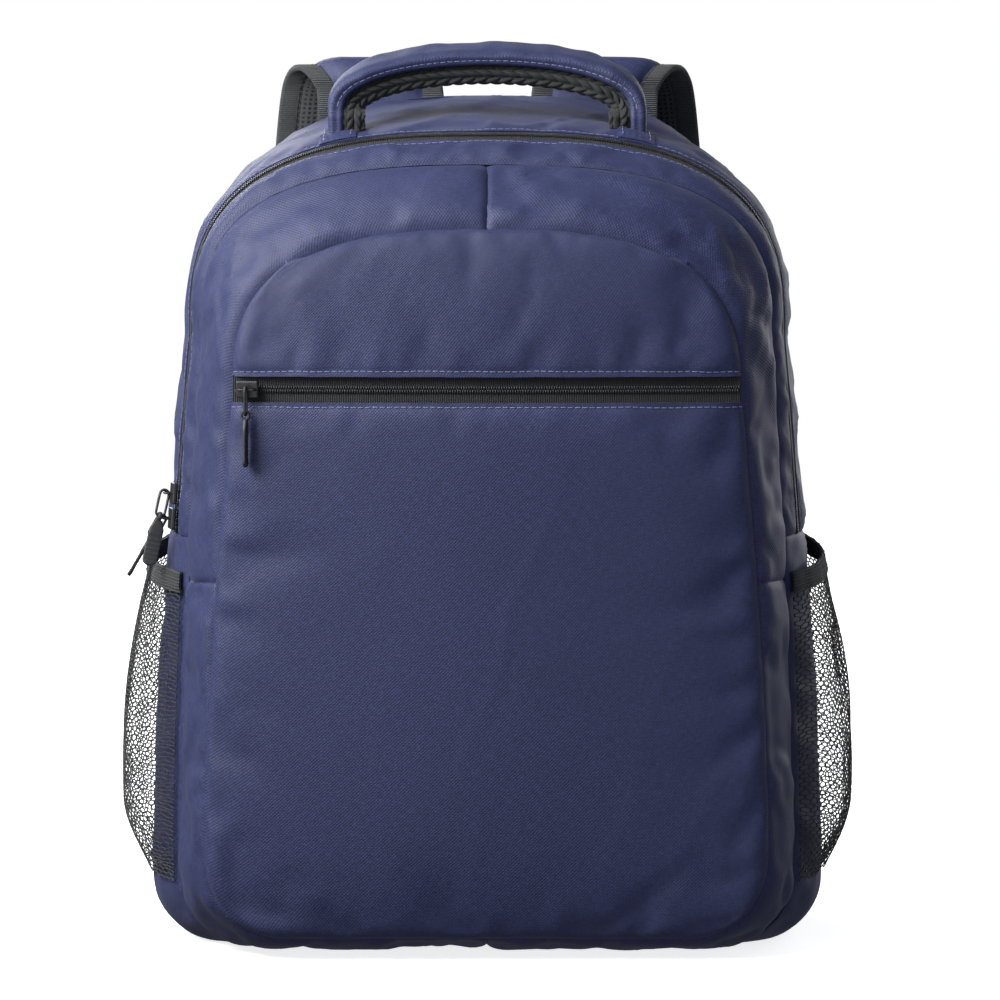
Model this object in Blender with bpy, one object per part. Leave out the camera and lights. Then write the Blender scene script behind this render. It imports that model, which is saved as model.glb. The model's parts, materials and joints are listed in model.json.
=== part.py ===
"""School backpack: a lofted fabric body with a zipped front pocket, a tilting front half, net side pockets,
a grab handle and two padded shoulder straps. Metres, +X to the right seen from the front, -Y to the front,
+Z up. The origin is the middle of the flat base."""

import math

import bmesh
import bpy
import numpy as np
from mathutils import Matrix, Vector

# Driving dimensions
FABRIC = 0.0020
GAP = 0.0003
FRONT_Y = -0.080
POCKET_Y = -0.042
ZIP_Y = -0.020
MIDDLE_Y = 0.035
BACK_Y = 0.085
FRONT_BULGE = 0.010

# Heights that split the shell
BASE_TOP_Z = 0.030
HINGE_Z = 0.212
FLAP_ANGLE = math.radians(30)
FRONT_ZIP_LOW_Z = 0.2830
FRONT_ZIP_HIGH_Z = 0.2955

# Zips
TAPE = 0.0050
TAPE_THICK = 0.0012
MAIN_SLIDER_Z = {"upper": 0.2325, "lower": 0.2195}
FRONT_SLIDER_X = -0.119
SLIDER_LONG = 0.0110
SLIDER_WIDE = 0.0085
SLIDER_THICK = 0.0024
SLIDER_CLEAR = 0.0006
BRIDGE_HIGH = 0.0036
WIRE = 0.0006
LOOP_R = 0.0024
LOOP_LONG = 0.0155
HOOK = 0.0017
EYE_R = 0.0020
PULL_LONG = 0.0260
PULL_WIDE = 0.0075
PULL_THICK = 0.0020

# Side pockets
POCKET_FRONT_Y = -0.040
POCKET_BACK_Y = 0.070
POCKET_LOW_Z = 0.034
POCKET_HIGH_FRONT_Z = 0.194
POCKET_HIGH_BACK_Z = 0.207
ELASTIC_HIGH = 0.011
NET_THICK = 0.0012
NET_BULGE = 0.0165
MOUTH_BULGE = 0.0075

# Carrying parts
HANDLE_Y = -0.0005
HANDLE_DEPTH = 0.022
HANDLE_THICK = 0.0086
HANDLE_HALF = 0.0725
HANDLE_FOOT = 0.0105
HANDLE_RISE = 0.0266
HANDLE_LEAN = 0.018
ANCHOR_X = 0.080
ANCHOR_WIDE = 0.014
ANCHOR_DEEP = 0.026
ANCHOR_THICK = 0.0010
STRAP_WIDE = 0.076
STRAP_END_WIDE = 0.056
STRAP_THICK = 0.0100
WEBBING_WIDE = 0.025
WEBBING_THICK = 0.0016

# Half widths, heights, corner radius and arch power of the outline at each depth
STATIONS = {
    FRONT_Y: dict(base=0.1425, shoulder=0.1275, low=0.011,
             shoulder_z=0.288, top=0.3695, corner=0.042, power=2.7),
    POCKET_Y: dict(base=0.1580, shoulder=0.1460, low=0.002,
             shoulder_z=0.320, top=0.4025, corner=0.036, power=2.8),
    ZIP_Y: dict(base=0.1690, shoulder=0.1525, low=0.000,
             shoulder_z=0.314, top=0.4175, corner=0.031, power=2.8),
    MIDDLE_Y: dict(base=0.1750, shoulder=0.1550, low=0.000,
             shoulder_z=0.308, top=0.428, corner=0.030, power=2.8),
    BACK_Y: dict(base=0.1670, shoulder=0.1470, low=0.000,
             shoulder_z=0.300, top=0.438, corner=0.042, power=2.7),
}
SIDE_EASE = 1.6

NAVY = (0.040, 0.050, 0.100, 1)
BLACK = (0.020, 0.022, 0.024, 1)
COLOURS = {
    "navy_fabric": (NAVY, 0.85, 0.0),
    "lining": ((0.030, 0.036, 0.070, 1), 0.9, 0.0),
    "net": (BLACK, 0.9, 0.0),
    "elastic": ((0.045, 0.047, 0.053, 1), 0.9, 0.0),
    "air_mesh": (BLACK, 0.95, 0.0),
    "webbing": ((0.030, 0.032, 0.035, 1), 0.85, 0.0),
    "zip_tape": ((0.025, 0.028, 0.032, 1), 0.8, 0.0),
    "slider_metal": ((0.10, 0.10, 0.11, 1), 0.4, 0.9),
    "wire_metal": ((0.35, 0.35, 0.36, 1), 0.3, 1.0),
    "puller_rubber": ((0.030, 0.032, 0.034, 1), 0.6, 0.0),
    "buckle_plastic": ((0.020, 0.020, 0.022, 1), 0.45, 0.0),
}


def clear_scene():
    for obj in list(bpy.data.objects):
        bpy.data.objects.remove(obj)


def material(name):
    found = bpy.data.materials.get(name)
    if found:
        return found
    colour, roughness, metallic = COLOURS[name]
    made = bpy.data.materials.new(name)
    made.use_nodes = True
    shader = made.node_tree.nodes["Principled BSDF"]
    shader.inputs["Base Color"].default_value = colour
    shader.inputs["Roughness"].default_value = roughness
    shader.inputs["Metallic"].default_value = metallic
    return made


def add_object(name, points, faces, look=None):
    """A mesh object from points and faces, with its normals turned outwards."""
    mesh = bpy.data.meshes.new(name)
    mesh.from_pydata([tuple(p) for p in points], [], faces)
    shape = bmesh.new()
    shape.from_mesh(mesh)
    bmesh.ops.recalc_face_normals(shape, faces=shape.faces)
    shape.to_mesh(mesh)
    shape.free()
    obj = bpy.data.objects.new(name, mesh)
    bpy.context.scene.collection.objects.link(obj)
    if look:
        mesh.materials.append(material(look))
        mesh.shade_smooth()
        mesh.set_sharp_from_angle(angle=math.radians(35))
    return obj


def hide_helper(obj):
    obj.hide_render = True
    obj.display_type = "WIRE"
    return obj


# Outline of the body

def station(y):
    """The outline's values at depth y. They run straight to the zip, and in one curve behind it."""
    depths = sorted(STATIONS)
    if y >= ZIP_Y:
        a, b, c = ZIP_Y, MIDDLE_Y, BACK_Y
        weights = {
            a: (y - b) * (y - c) / ((a - b) * (a - c)),
            b: (y - a) * (y - c) / ((b - a) * (b - c)),
            c: (y - a) * (y - b) / ((c - a) * (c - b)),
        }
    else:
        a = max(d for d in depths[:-2] if d <= max(y, FRONT_Y) and d < ZIP_Y)
        b = depths[depths.index(a) + 1]
        share = (y - a) / (b - a)
        weights = {a: 1 - share, b: share}
    return {key: sum(w * STATIONS[d][key] for d, w in weights.items()) for key in STATIONS[FRONT_Y]}


def half_width(y, z):
    """Half the body's width at depth y and height z."""
    s = station(y)
    if z > s["shoulder_z"]:
        rise = min((z - s["shoulder_z"]) / (s["top"] - s["shoulder_z"]), 1)
        return s["shoulder"] * (1 - rise ** s["power"]) ** (1 / s["power"])
    side_low = s["low"] + s["corner"]
    if z < side_low:
        drop = min((side_low - z) / s["corner"], 1)
        return s["base"] - s["corner"] * (1 - math.sqrt(1 - drop * drop))
    t = (z - side_low) / (s["shoulder_z"] - side_low)
    return s["base"] + (s["shoulder"] - s["base"]) * t ** SIDE_EASE


def top_height(y, x):
    """Height of the arch at depth y above a given x."""
    s = station(y)
    share = min(abs(x) / s["shoulder"], 1)
    return s["shoulder_z"] + (s["top"] - s["shoulder_z"]) * (1 - share ** s["power"]) ** (1 / s["power"])


CORNER_STEPS = 5
SIDE_STEPS = 7
ARCH_STEPS = 12


def half_outline(y):
    """Points (x, z) of the outline's right half, from the middle of the base to the middle of the top."""
    s = station(y)
    low, corner = s["low"], s["corner"]
    points = [(0.0, low), ((s["base"] - corner) / 2, low)]
    for i in range(CORNER_STEPS + 1):
        turn = math.pi / 2 * i / CORNER_STEPS
        points.append((s["base"] - corner + corner * math.sin(turn), low + corner * (1 - math.cos(turn))))
    for i in range(1, SIDE_STEPS):
        z = low + corner + (s["shoulder_z"] - low - corner) * i / SIDE_STEPS
        points.append((half_width(y, z), z))
    for i in range(ARCH_STEPS + 1):
        turn = math.pi / 2 * i / ARCH_STEPS
        across = math.cos(turn) ** (2 / s["power"])
        up = math.sin(turn) ** (2 / s["power"])
        points.append((s["shoulder"] * across, s["shoulder_z"] + (s["top"] - s["shoulder_z"]) * up))
    return points


def outline(y, inset=0.0):
    """The closed outline at depth y, anticlockwise seen from the back, moved inwards by inset."""
    right = half_outline(y)
    loop = np.array(right + [(-x, z) for x, z in reversed(right[1:-1])])
    along = np.roll(loop, -1, axis=0) - np.roll(loop, 1, axis=0)
    along /= np.linalg.norm(along, axis=1)[:, None]
    inwards = np.column_stack([-along[:, 1], along[:, 0]])
    return loop + inwards * inset


def ring(name, y_from, y_to, steps, look, thick=FABRIC, outset=0.0):
    """A closed fabric band round the whole outline between two depths."""
    depths = np.linspace(y_from, y_to, steps + 1)
    loops = [[(x, y, z) for x, z in outline(y, -outset)] for y in depths]
    loops += [[(x, y, z) for x, z in outline(y, thick - outset)] for y in reversed(depths)]
    count = len(loops[0])
    points = [p for loop in loops for p in loop]
    faces = []
    for j in range(len(loops)):
        here, there = j * count, (j + 1) % len(loops) * count
        for i in range(count):
            after = (i + 1) % count
            faces.append((here + i, here + after, there + after, there + i))
    return add_object(name, points, faces, look)


def front_depth(x, z, inset=0.0):
    """Depth of the front panel's face: a shallow dome over its outline."""
    s = station(FRONT_Y)
    middle = (s["low"] + s["top"]) / 2
    across = min(abs(x) / half_width(FRONT_Y, z), 1) if s["low"] < z < s["top"] else 1
    up = min(abs(z - middle) / (s["top"] - middle), 1)
    return FRONT_Y - FRONT_BULGE * (1 - across ** 2) * (1 - up ** 4) + inset


def plate(name, y, look, inset=0.0, thick=FABRIC, dome=False):
    """A fabric panel across the outline at depth y, flat or following the front dome."""
    shares = (1.0, 0.93, 0.8, 0.62, 0.42, 0.21)
    loop = outline(y, inset)
    centre = np.array([0.0, (loop[:, 1].min() + loop[:, 1].max()) / 2])
    count = len(loop)

    def layer(back):
        rows = []
        for share in shares:
            for x, z in centre + (loop - centre) * share:
                rows.append((x, front_depth(x, z, back) if dome else y + back, z))
        x, z = centre
        rows.append((x, front_depth(x, z, back) if dome else y + back, z))
        return rows

    points = layer(0.0) + layer(thick)
    size = len(shares) * count + 1
    faces = []
    for side in (0, size):
        for k in range(len(shares) - 1):
            for i in range(count):
                after = (i + 1) % count
                a, b = side + k * count, side + (k + 1) * count
                faces.append((a + i, a + after, b + after, b + i))
        last = side + (len(shares) - 1) * count
        for i in range(count):
            faces.append((last + i, last + (i + 1) % count, side + size - 1))
    for i in range(count):
        after = (i + 1) % count
        faces.append((i, after, size + after, size + i))
    return add_object(name, points, faces, look)


# Cutters

FAR = 0.6


def prism(name, corners, x_from=-FAR, x_to=FAR):
    """A hidden cutter: a (y, z) polygon run along X."""
    points = [(x, y, z) for x in (x_from, x_to) for y, z in corners]
    count = len(corners)
    faces = [tuple(range(count)), tuple(range(2 * count - 1, count - 1, -1))]
    faces += [(i, (i + 1) % count, count + (i + 1) % count, count + i) for i in range(count)]
    return hide_helper(add_object(name, points, faces))


def slab(name, z_from, z_to, x_from=-FAR, x_to=FAR):
    return prism(name, [(-FAR, z_from), (FAR, z_from), (FAR, z_to), (-FAR, z_to)], x_from, x_to)


def keep(obj, *regions):
    """Keeps only what lies inside each region."""
    for number, region in enumerate(regions):
        cut = obj.modifiers.new(f"keep_{number}", "BOOLEAN")
        cut.operation = "INTERSECT"
        cut.object = region
    return obj


def cut_away(obj, region):
    """Removes what lies inside the region."""
    cut = obj.modifiers.new("cut_away", "BOOLEAN")
    cut.operation = "DIFFERENCE"
    cut.object = region
    return obj


def join(obj, other):
    glue = obj.modifiers.new("join", "BOOLEAN")
    glue.operation = "UNION"
    glue.object = hide_helper(other)
    return obj


def wedge_z(y, lift=0.0):
    """Height of the slanting lower edge of the tilting front half, in front of the zip line."""
    return HINGE_Z + lift + (ZIP_Y - y) * math.tan(FLAP_ANGLE)


# Swept strips, tubes and small plates

def smooth_path(points, steps):
    """A Catmull-Rom curve through the points."""
    pts = [Vector(p) for p in points]
    pts = [pts[0] * 2 - pts[1], *pts, pts[-1] * 2 - pts[-2]]
    made = []
    for i in range(1, len(pts) - 2):
        a, b, c, d = pts[i - 1:i + 3]
        for k in range(steps):
            t = k / steps
            made.append(0.5 * (2 * b + (c - a) * t + (2 * a - 5 * b + 4 * c - d) * t * t
                               + (3 * b - a - 3 * c + d) * t ** 3))
    made.append(pts[-2])
    return made


def strip(name, path, across, wide, thick, look, offset=0.0, rounded=0.35):
    """A flat strip swept along a path. Its width lies along across, and may depend on the share run."""
    count = len(path)
    points = []
    side = Vector(across).normalized()
    for i, p in enumerate(path):
        along = path[min(i + 1, count - 1)] - path[max(i - 1, 0)]
        up = (along - side * along.dot(side)).normalized().cross(side)
        width = wide(i / (count - 1)) if callable(wide) else wide
        half, t = width / 2, thick / 2
        edge = min(half, t) * 2 * rounded
        ring_points = [
            (half, -t + edge), (half, t - edge), (half - edge, t), (0, t), (-half + edge, t),
            (-half, t - edge), (-half, -t + edge), (-half + edge, -t), (0, -t), (half - edge, -t),
        ]
        points += [p + side * a + up * (b + offset) for a, b in ring_points]
    corners = 10
    faces = [tuple(range(corners)), tuple(range((count - 1) * corners, count * corners))]
    for i in range(count - 1):
        for k in range(corners):
            after = (k + 1) % corners
            a, b = i * corners, (i + 1) * corners
            faces.append((a + k, a + after, b + after, b + k))
    return add_object(name, points, faces, look)


def loop_tube(name, path, radius, look, sides=6):
    """A closed wire loop lying in one plane."""
    count = len(path)
    normal = (path[count // 4] - path[0]).cross(path[count // 2] - path[0]).normalized()
    points = []
    for i, p in enumerate(path):
        along = (path[(i + 1) % count] - path[i - 1]).normalized()
        side = along.cross(normal)
        for k in range(sides):
            turn = 2 * math.pi * k / sides
            points.append(p + (side * math.cos(turn) + normal * math.sin(turn)) * radius)
    faces = []
    for i in range(count):
        a, b = i * sides, (i + 1) % count * sides
        for k in range(sides):
            after = (k + 1) % sides
            faces.append((a + k, a + after, b + after, b + k))
    return add_object(name, points, faces, look)


def grid_solid(name, surface, rows, columns, thick, look):
    """A fabric patch. surface(u, v) gives a point and its outward normal. Its thickness lies inwards."""
    outer, inner = [], []
    for j in range(rows + 1):
        for i in range(columns + 1):
            p, n = surface(i / columns, j / rows)
            outer.append(p)
            inner.append(p - n * thick)
    size = len(outer)
    stride = columns + 1
    faces = []
    for j in range(rows):
        for i in range(columns):
            a = j * stride + i
            quad = (a, a + 1, a + stride + 1, a + stride)
            faces.append(quad)
            faces.append(tuple(size + k for k in reversed(quad)))
    rim = [i for i in range(columns)]
    rim += [j * stride + columns for j in range(rows)]
    rim += [rows * stride + i for i in range(columns, 0, -1)]
    rim += [j * stride for j in range(rows, 0, -1)]
    for k, a in enumerate(rim):
        b = rim[(k + 1) % len(rim)]
        faces.append((a, size + a, size + b, b))
    return add_object(name, outer + inner, faces, look)


def block(name, size, place, look, bevel=0.0):
    """A box of the given size, centred on place (a 4x4 matrix), with rounded edges."""
    shape = bmesh.new()
    bmesh.ops.create_cube(shape, size=1.0)
    bmesh.ops.scale(shape, vec=size, verts=shape.verts)
    if bevel:
        bmesh.ops.bevel(shape, geom=shape.edges[:], offset=bevel, segments=2, profile=0.5, affect="EDGES")
    shape.transform(place)
    mesh = bpy.data.meshes.new(name)
    shape.to_mesh(mesh)
    shape.free()
    obj = bpy.data.objects.new(name, mesh)
    bpy.context.scene.collection.objects.link(obj)
    if look:
        mesh.materials.append(material(look))
        mesh.shade_smooth()
        mesh.set_sharp_from_angle(angle=math.radians(35))
    return obj


def frame_at(origin, x_axis, z_axis):
    """A matrix with its X along x_axis and its Z near z_axis."""
    x = Vector(x_axis).normalized()
    z = (Vector(z_axis) - x * x.dot(Vector(z_axis))).normalized()
    y = z.cross(x)
    made = Matrix((x, y, z)).transposed().to_4x4()
    made.translation = Vector(origin)
    return made


def set_origin(obj, place):
    """Moves an object's origin onto its joint's axis and leaves its shape where it is."""
    obj.data.transform(Matrix.Translation(-Vector(place)))
    obj.location = Vector(place)


# Body shell

def build_shell():
    below = slab("region_below", -FAR, HINGE_Z - GAP)
    base = slab("region_base", -FAR, BASE_TOP_Z - GAP / 2)
    left = slab("region_left", -FAR, FAR, -FAR, -GAP / 2)
    right = slab("region_right", -FAR, FAR, GAP / 2, FAR)
    side_left = slab("region_side_left", BASE_TOP_Z + GAP / 2, HINGE_Z - GAP, -FAR, -0.01)
    side_right = slab("region_side_right", BASE_TOP_Z + GAP / 2, HINGE_Z - GAP, 0.01, FAR)
    above = slab("region_above", HINGE_Z, FAR)
    near = -0.2
    fold = prism("region_fold", [(ZIP_Y - 0.001, HINGE_Z), (near, wedge_z(near, -GAP)), (near, HINGE_Z)])
    flap_sides = [(ZIP_Y, HINGE_Z + GAP), (ZIP_Y, FAR), (near, FAR), (near, wedge_z(near, GAP))]
    flap = prism("region_flap", flap_sides)

    front_from, front_to = FRONT_Y + FABRIC + GAP, POCKET_Y - GAP / 2
    band_from, band_to = POCKET_Y + GAP / 2, ZIP_Y - GAP / 2 - TAPE - GAP
    tape_from, tape_to = ZIP_Y - GAP / 2 - TAPE, ZIP_Y - GAP / 2
    rear_from, rear_to = ZIP_Y + GAP / 2, ZIP_Y + GAP / 2 + TAPE
    gusset_from, gusset_to = rear_to + GAP, BACK_Y - GAP - FABRIC / 2

    parked = slab("region_parked_sliders", -FAR, MAIN_SLIDER_Z["upper"] + SLIDER_LONG * 0.65, -FAR, 0)

    zip_low = slab("region_zip_low", FRONT_ZIP_LOW_Z, (FRONT_ZIP_LOW_Z + FRONT_ZIP_HIGH_Z) / 2 - GAP / 2)
    zip_high = slab("region_zip_high", (FRONT_ZIP_LOW_Z + FRONT_ZIP_HIGH_Z) / 2 + GAP / 2, FRONT_ZIP_HIGH_Z)
    panel_top = slab("region_panel_top", FRONT_ZIP_HIGH_Z + GAP, FAR)
    panel_middle = slab("region_panel_middle", HINGE_Z, FRONT_ZIP_LOW_Z - GAP)

    keep(plate("front_panel_lower", FRONT_Y, "navy_fabric", dome=True), below)
    tilting = [
        keep(plate("front_panel_middle", FRONT_Y, "navy_fabric", dome=True), panel_middle, flap),
        keep(plate("front_panel_upper", FRONT_Y, "navy_fabric", dome=True), panel_top),
    ]
    for name, region in (("front_zip_lower_half", zip_low), ("front_zip_upper_half", zip_high)):
        tape = plate(name, FRONT_Y, "zip_tape", dome=True, inset=0.0015, thick=TAPE_THICK)
        tilting.append(keep(tape, region))

    keep(ring("pocket_gusset_lower_left", front_from, front_to, 2, "navy_fabric"), below, left)
    keep(ring("pocket_gusset_lower_right", front_from, front_to, 2, "navy_fabric"), below, right)
    for word, half in (("left", left), ("right", right)):
        gusset = ring(f"pocket_gusset_upper_{word}", front_from, front_to, 2, "navy_fabric")
        tilting.append(keep(gusset, flap, half))

    fold_ring = ring("pocket_fold", front_from, band_to, 4, "navy_fabric")
    fold_face = plate("fold_face", FRONT_Y, None, dome=True, thick=FABRIC + 2 * GAP)
    join(fold_ring, fold_face)
    keep(fold_ring, fold)

    wall_inset = FABRIC + 2 * GAP
    keep(plate("pocket_wall_lower", POCKET_Y, "lining", inset=wall_inset, thick=0.0012), below)
    tilting += [
        keep(plate("pocket_wall_upper", POCKET_Y, "lining", inset=wall_inset, thick=0.0012), flap),
        keep(ring("front_band", band_from, band_to, 1, "navy_fabric"), flap),
        cut_away(
            keep(ring("main_zip_front_half", tape_from, tape_to, 1, "zip_tape", TAPE_THICK), flap), parked),
    ]
    for piece in tilting:
        set_origin(piece, (0, ZIP_Y, HINGE_Z))

    keep(ring("main_zip_rear_half", rear_from, rear_to, 1, "zip_tape", TAPE_THICK), above)
    keep(ring("main_gusset", gusset_from, gusset_to, 5, "navy_fabric"), above)
    keep(ring("side_panel_left", band_from, gusset_to, 7, "navy_fabric"), side_left)
    keep(ring("side_panel_right", band_from, gusset_to, 7, "navy_fabric"), side_right)
    keep(ring("base_panel", band_from, gusset_to, 7, "navy_fabric"), base)
    plate("back_panel", BACK_Y - FABRIC / 2, "navy_fabric", thick=FABRIC)


# Net pockets

def pocket_surface(side, z_low, z_high, outset):
    """The net pocket's outer face on one side: u runs from front to back, v from the bottom up."""

    def place(u, v):
        y = POCKET_FRONT_Y + (POCKET_BACK_Y - POCKET_FRONT_Y) * u
        mouth = POCKET_HIGH_FRONT_Z + (POCKET_HIGH_BACK_Z - POCKET_HIGH_FRONT_Z) * u
        z = z_low(mouth) + (z_high(mouth) - z_low(mouth)) * v
        drop = (mouth - z) / (mouth - POCKET_LOW_Z)
        belly = MOUTH_BULGE + (NET_BULGE - MOUTH_BULGE) * math.sin(math.pi * min(drop, 1) * 0.85)
        foot = min((1 - drop) / 0.22, 1)
        swell = belly * math.sin(math.pi * u) ** 0.75 * math.sin(math.pi / 2 * foot)
        return Vector((side * (half_width(y, z) + outset + swell), y, z))

    def surface(u, v):
        step = 0.01
        a, b = place(max(u - step, 0), v), place(min(u + step, 1), v)
        c, d = place(u, max(v - step, 0)), place(u, min(v + step, 1))
        normal = (b - a).cross(d - c).normalized() * side
        return place(u, v), normal

    return surface


def build_net_pockets():
    for side, word in ((-1, "left"), (1, "right")):
        net_top = lambda mouth: mouth - ELASTIC_HIGH - GAP
        net = pocket_surface(side, lambda mouth: POCKET_LOW_Z, net_top, NET_THICK + 3 * GAP)
        grid_solid(f"mesh_pocket_{word}", net, 8, 12, NET_THICK, "net")
        band = pocket_surface(side, lambda m: m - ELASTIC_HIGH, lambda m: m, FABRIC + 3 * GAP)
        grid_solid(f"pocket_elastic_{word}", band, 1, 12, FABRIC, "elastic")


# Sliders and pullers

def half_ring_path(centre, end, across):
    """A stadium loop: its first round end is centred on centre, its other on end."""
    centre, end, across = Vector(centre), Vector(end), Vector(across).normalized()
    along = (end - centre).normalized()
    path = []
    for middle, turn_from in ((centre, 0.0), (end, math.pi)):
        for k in range(7):
            turn = turn_from + math.pi * k / 6
            path.append(middle + (across * math.cos(turn) - along * math.sin(turn)) * LOOP_R)
    return path


def build_slider(name, place, bar_along):
    """A slider in its own XY plane, X along the zip. Its bridge stands on the +Z side, along bar_along."""
    body = block(name, (SLIDER_LONG, SLIDER_WIDE, SLIDER_THICK), place, "slider_metal", 0.0007)
    along = Vector(bar_along)
    reach = (SLIDER_LONG if along.x else SLIDER_WIDE) / 2 - 0.0012
    top = SLIDER_THICK / 2
    steps = ((1.0, -0.0004), (0.9, 0.0028), (0.55, BRIDGE_HIGH))
    corners = [along * (-reach * share) + Vector((0, 0, top + rise)) for share, rise in steps]
    corners += [Vector((-c.x, -c.y, c.z)) for c in reversed(corners)]
    arch = [place @ p for p in smooth_path(corners, 3)]
    across = place.to_3x3() @ Vector((along.y, along.x, 0))
    join(body, strip(f"{name}_bridge", arch, across, 0.0012, 0.0008, None))
    return body


def build_puller(prefix, pivot, bar, hang, flat=None):
    """A wire loop that hangs on the bar through pivot, and a moulded tab on the loop's far end."""
    pivot, hang = Vector(pivot), Vector(hang).normalized()
    across = Vector(bar).cross(hang).normalized()
    near = pivot + hang * (LOOP_R - HOOK)
    far = near + hang * (LOOP_LONG - 2 * LOOP_R - 2 * WIRE)
    loop = loop_tube(f"{prefix}_pull_loop", half_ring_path(near, far, across), WIRE, "wire_metal")
    set_origin(loop, pivot)
    wire_at = far + hang * LOOP_R
    flat = Vector(flat or across)
    flat = (flat - hang * flat.dot(hang)).normalized()
    path = [wire_at + hang * (EYE_R + (PULL_LONG - EYE_R) * k / 8) for k in range(9)]

    def width(share):
        return PULL_WIDE * (0.62 + 0.38 * min(share / 0.25, 1)) * (1 if share < 0.9 else 0.72)

    tab = strip(f"{prefix}_puller", path, flat, width, PULL_THICK, "puller_rubber")
    away = hang.cross(across)
    turns = [2 * math.pi * k / 12 for k in range(12)]
    eye = [wire_at + (hang * math.cos(t) + away * math.sin(t)) * EYE_R for t in turns]
    join(tab, strip_ring(f"{prefix}_eye", eye, across, 0.0020, 0.0009))
    set_origin(tab, wire_at)


def strip_ring(name, path, across, wide, thick):
    """A closed band: the round eye at the top of a puller."""
    count = len(path)
    centre = sum(path, Vector()) / count
    points = []
    corners = ((-0.5, -0.5), (0.5, -0.5), (0.5, 0.5), (-0.5, 0.5))
    for p in path:
        out = (p - centre).normalized()
        for a, b in corners:
            points.append(p + Vector(across) * (a * wide) + out * (b * thick))
    faces = []
    for i in range(count):
        a, b = i * 4, (i + 1) % count * 4
        for k in range(4):
            after = (k + 1) % 4
            faces.append((a + k, a + after, b + after, b + k))
    return add_object(name, points, faces, None)


def front_zip_arc():
    """The front zip's middle line: its height, and its arc's centre depth and radius."""
    z = (FRONT_ZIP_LOW_Z + FRONT_ZIP_HIGH_Z) / 2
    chord, rise = half_width(FRONT_Y, z), FRONT_Y - front_depth(0.0, z)
    radius = (chord * chord + rise * rise) / (2 * rise)
    return z, FRONT_Y - rise + radius, radius


def build_sliders():
    lift = SLIDER_THICK / 2 + SLIDER_CLEAR
    bar_high = SLIDER_THICK / 2 + BRIDGE_HIGH
    z, centre_y, radius = front_zip_arc()
    turn = math.asin(FRONT_SLIDER_X / radius)
    out = Vector((math.sin(turn), -math.cos(turn), 0))
    along = Vector((math.cos(turn), math.sin(turn), 0))
    seat = Vector((0, centre_y, z)) + out * (radius + lift)
    slider = build_slider("front_slider", frame_at(seat, along, out), (1, 0, 0))
    set_origin(slider, (0, centre_y, z))
    build_puller("front", seat + out * bar_high, along, (0, 0, -1))

    leans = {"upper": (-0.20, -0.24, -0.94), "lower": (-0.48, 0.36, -0.80)}
    shifts = {"upper": 0.0012, "lower": -0.0012}
    for word, z in MAIN_SLIDER_Z.items():
        step = 0.0045
        slope_y = (half_width(ZIP_Y + step, z) - half_width(ZIP_Y - step, z)) / (2 * step)
        slope_z = (half_width(ZIP_Y, z + 0.05) - half_width(ZIP_Y, z - 0.01)) / 0.06
        out = Vector((-1, -slope_y, -slope_z)).normalized()
        seat = Vector((-half_width(ZIP_Y, z), ZIP_Y, z)) + out * lift
        place = frame_at(seat, (slope_z, 0, -1), out)
        build_slider(f"main_slider_{word}", place, (0, 1, 0))
        bar = place.to_3x3() @ Vector((0, 1, 0))
        pivot = seat + out * bar_high + bar * shifts[word]
        build_puller(f"main_{word}", pivot, bar, leans[word], (0, 1, 0) if word == "lower" else None)


# Handle, straps and back

def handle_path():
    """The middle of the grab handle's arch, which leans back a little at the top."""
    points = []
    for k in range(17):
        turn = math.pi * k / 16
        rise = math.sin(turn) ** 0.72
        z = top_height(HANDLE_Y, HANDLE_HALF) + HANDLE_FOOT + HANDLE_RISE * rise
        points.append(Vector((-HANDLE_HALF * math.cos(turn), HANDLE_Y + HANDLE_LEAN * rise, z)))
    return points


def build_handle():
    path, lean, thick = handle_path(), (0, 1, 0.35), HANDLE_THICK
    apart = thick / 2 + 2 * GAP

    def depth(share):
        return HANDLE_DEPTH * (0.36 + 0.64 * min(min(share, 1 - share) / 0.16, 1))

    cover = strip("carry_handle", path, lean, depth, thick, "navy_fabric", offset=apart, rounded=0.45)
    grip_depth = lambda share: depth(share) * 0.88
    grip = strip("handle_grip", path, lean, grip_depth, thick, "webbing", -apart, 0.45)
    for piece in (cover, grip):
        set_origin(piece, (0, HANDLE_Y, path[0].z))
    for side, word in ((-1, "left"), (1, "right")):
        grid_solid(f"handle_anchor_{word}", anchor_surface(side), 3, 3, ANCHOR_THICK, "navy_fabric")


def anchor_surface(side):
    """A sewn tab on the top of the body, under one end of the handle."""

    def surface(u, v):
        x = side * (ANCHOR_X + ANCHOR_WIDE * (u - 0.5))
        y = HANDLE_Y + ANCHOR_DEEP * (v - 0.5)
        step = 0.001
        rise = (top_height(y, x + step) - top_height(y, x - step)) / (2 * step)
        normal = Vector((-rise, 0, 1)).normalized()
        return Vector((x, y, top_height(y, x))) + normal * (ANCHOR_THICK + 2 * GAP), normal

    return surface


STRAP_POINTS = (
    (0.058, 0.0925, 0.4415), (0.060, 0.0940, 0.4475), (0.065, 0.1010, 0.4530), (0.071, 0.1110, 0.4495),
    (0.075, 0.1170, 0.4330), (0.080, 0.1200, 0.3800), (0.085, 0.1205, 0.3200), (0.090, 0.1200, 0.2500),
    (0.094, 0.1180, 0.1900), (0.097, 0.1160, 0.1560),
)
LOCK_POINT = (0.0985, 0.1150, 0.1330)
LOWER_ANCHOR = (0.1280, 0.0890, 0.0300)


def mirrored(points, side):
    return [Vector((side * x, y, z)) for x, y, z in points]


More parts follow.
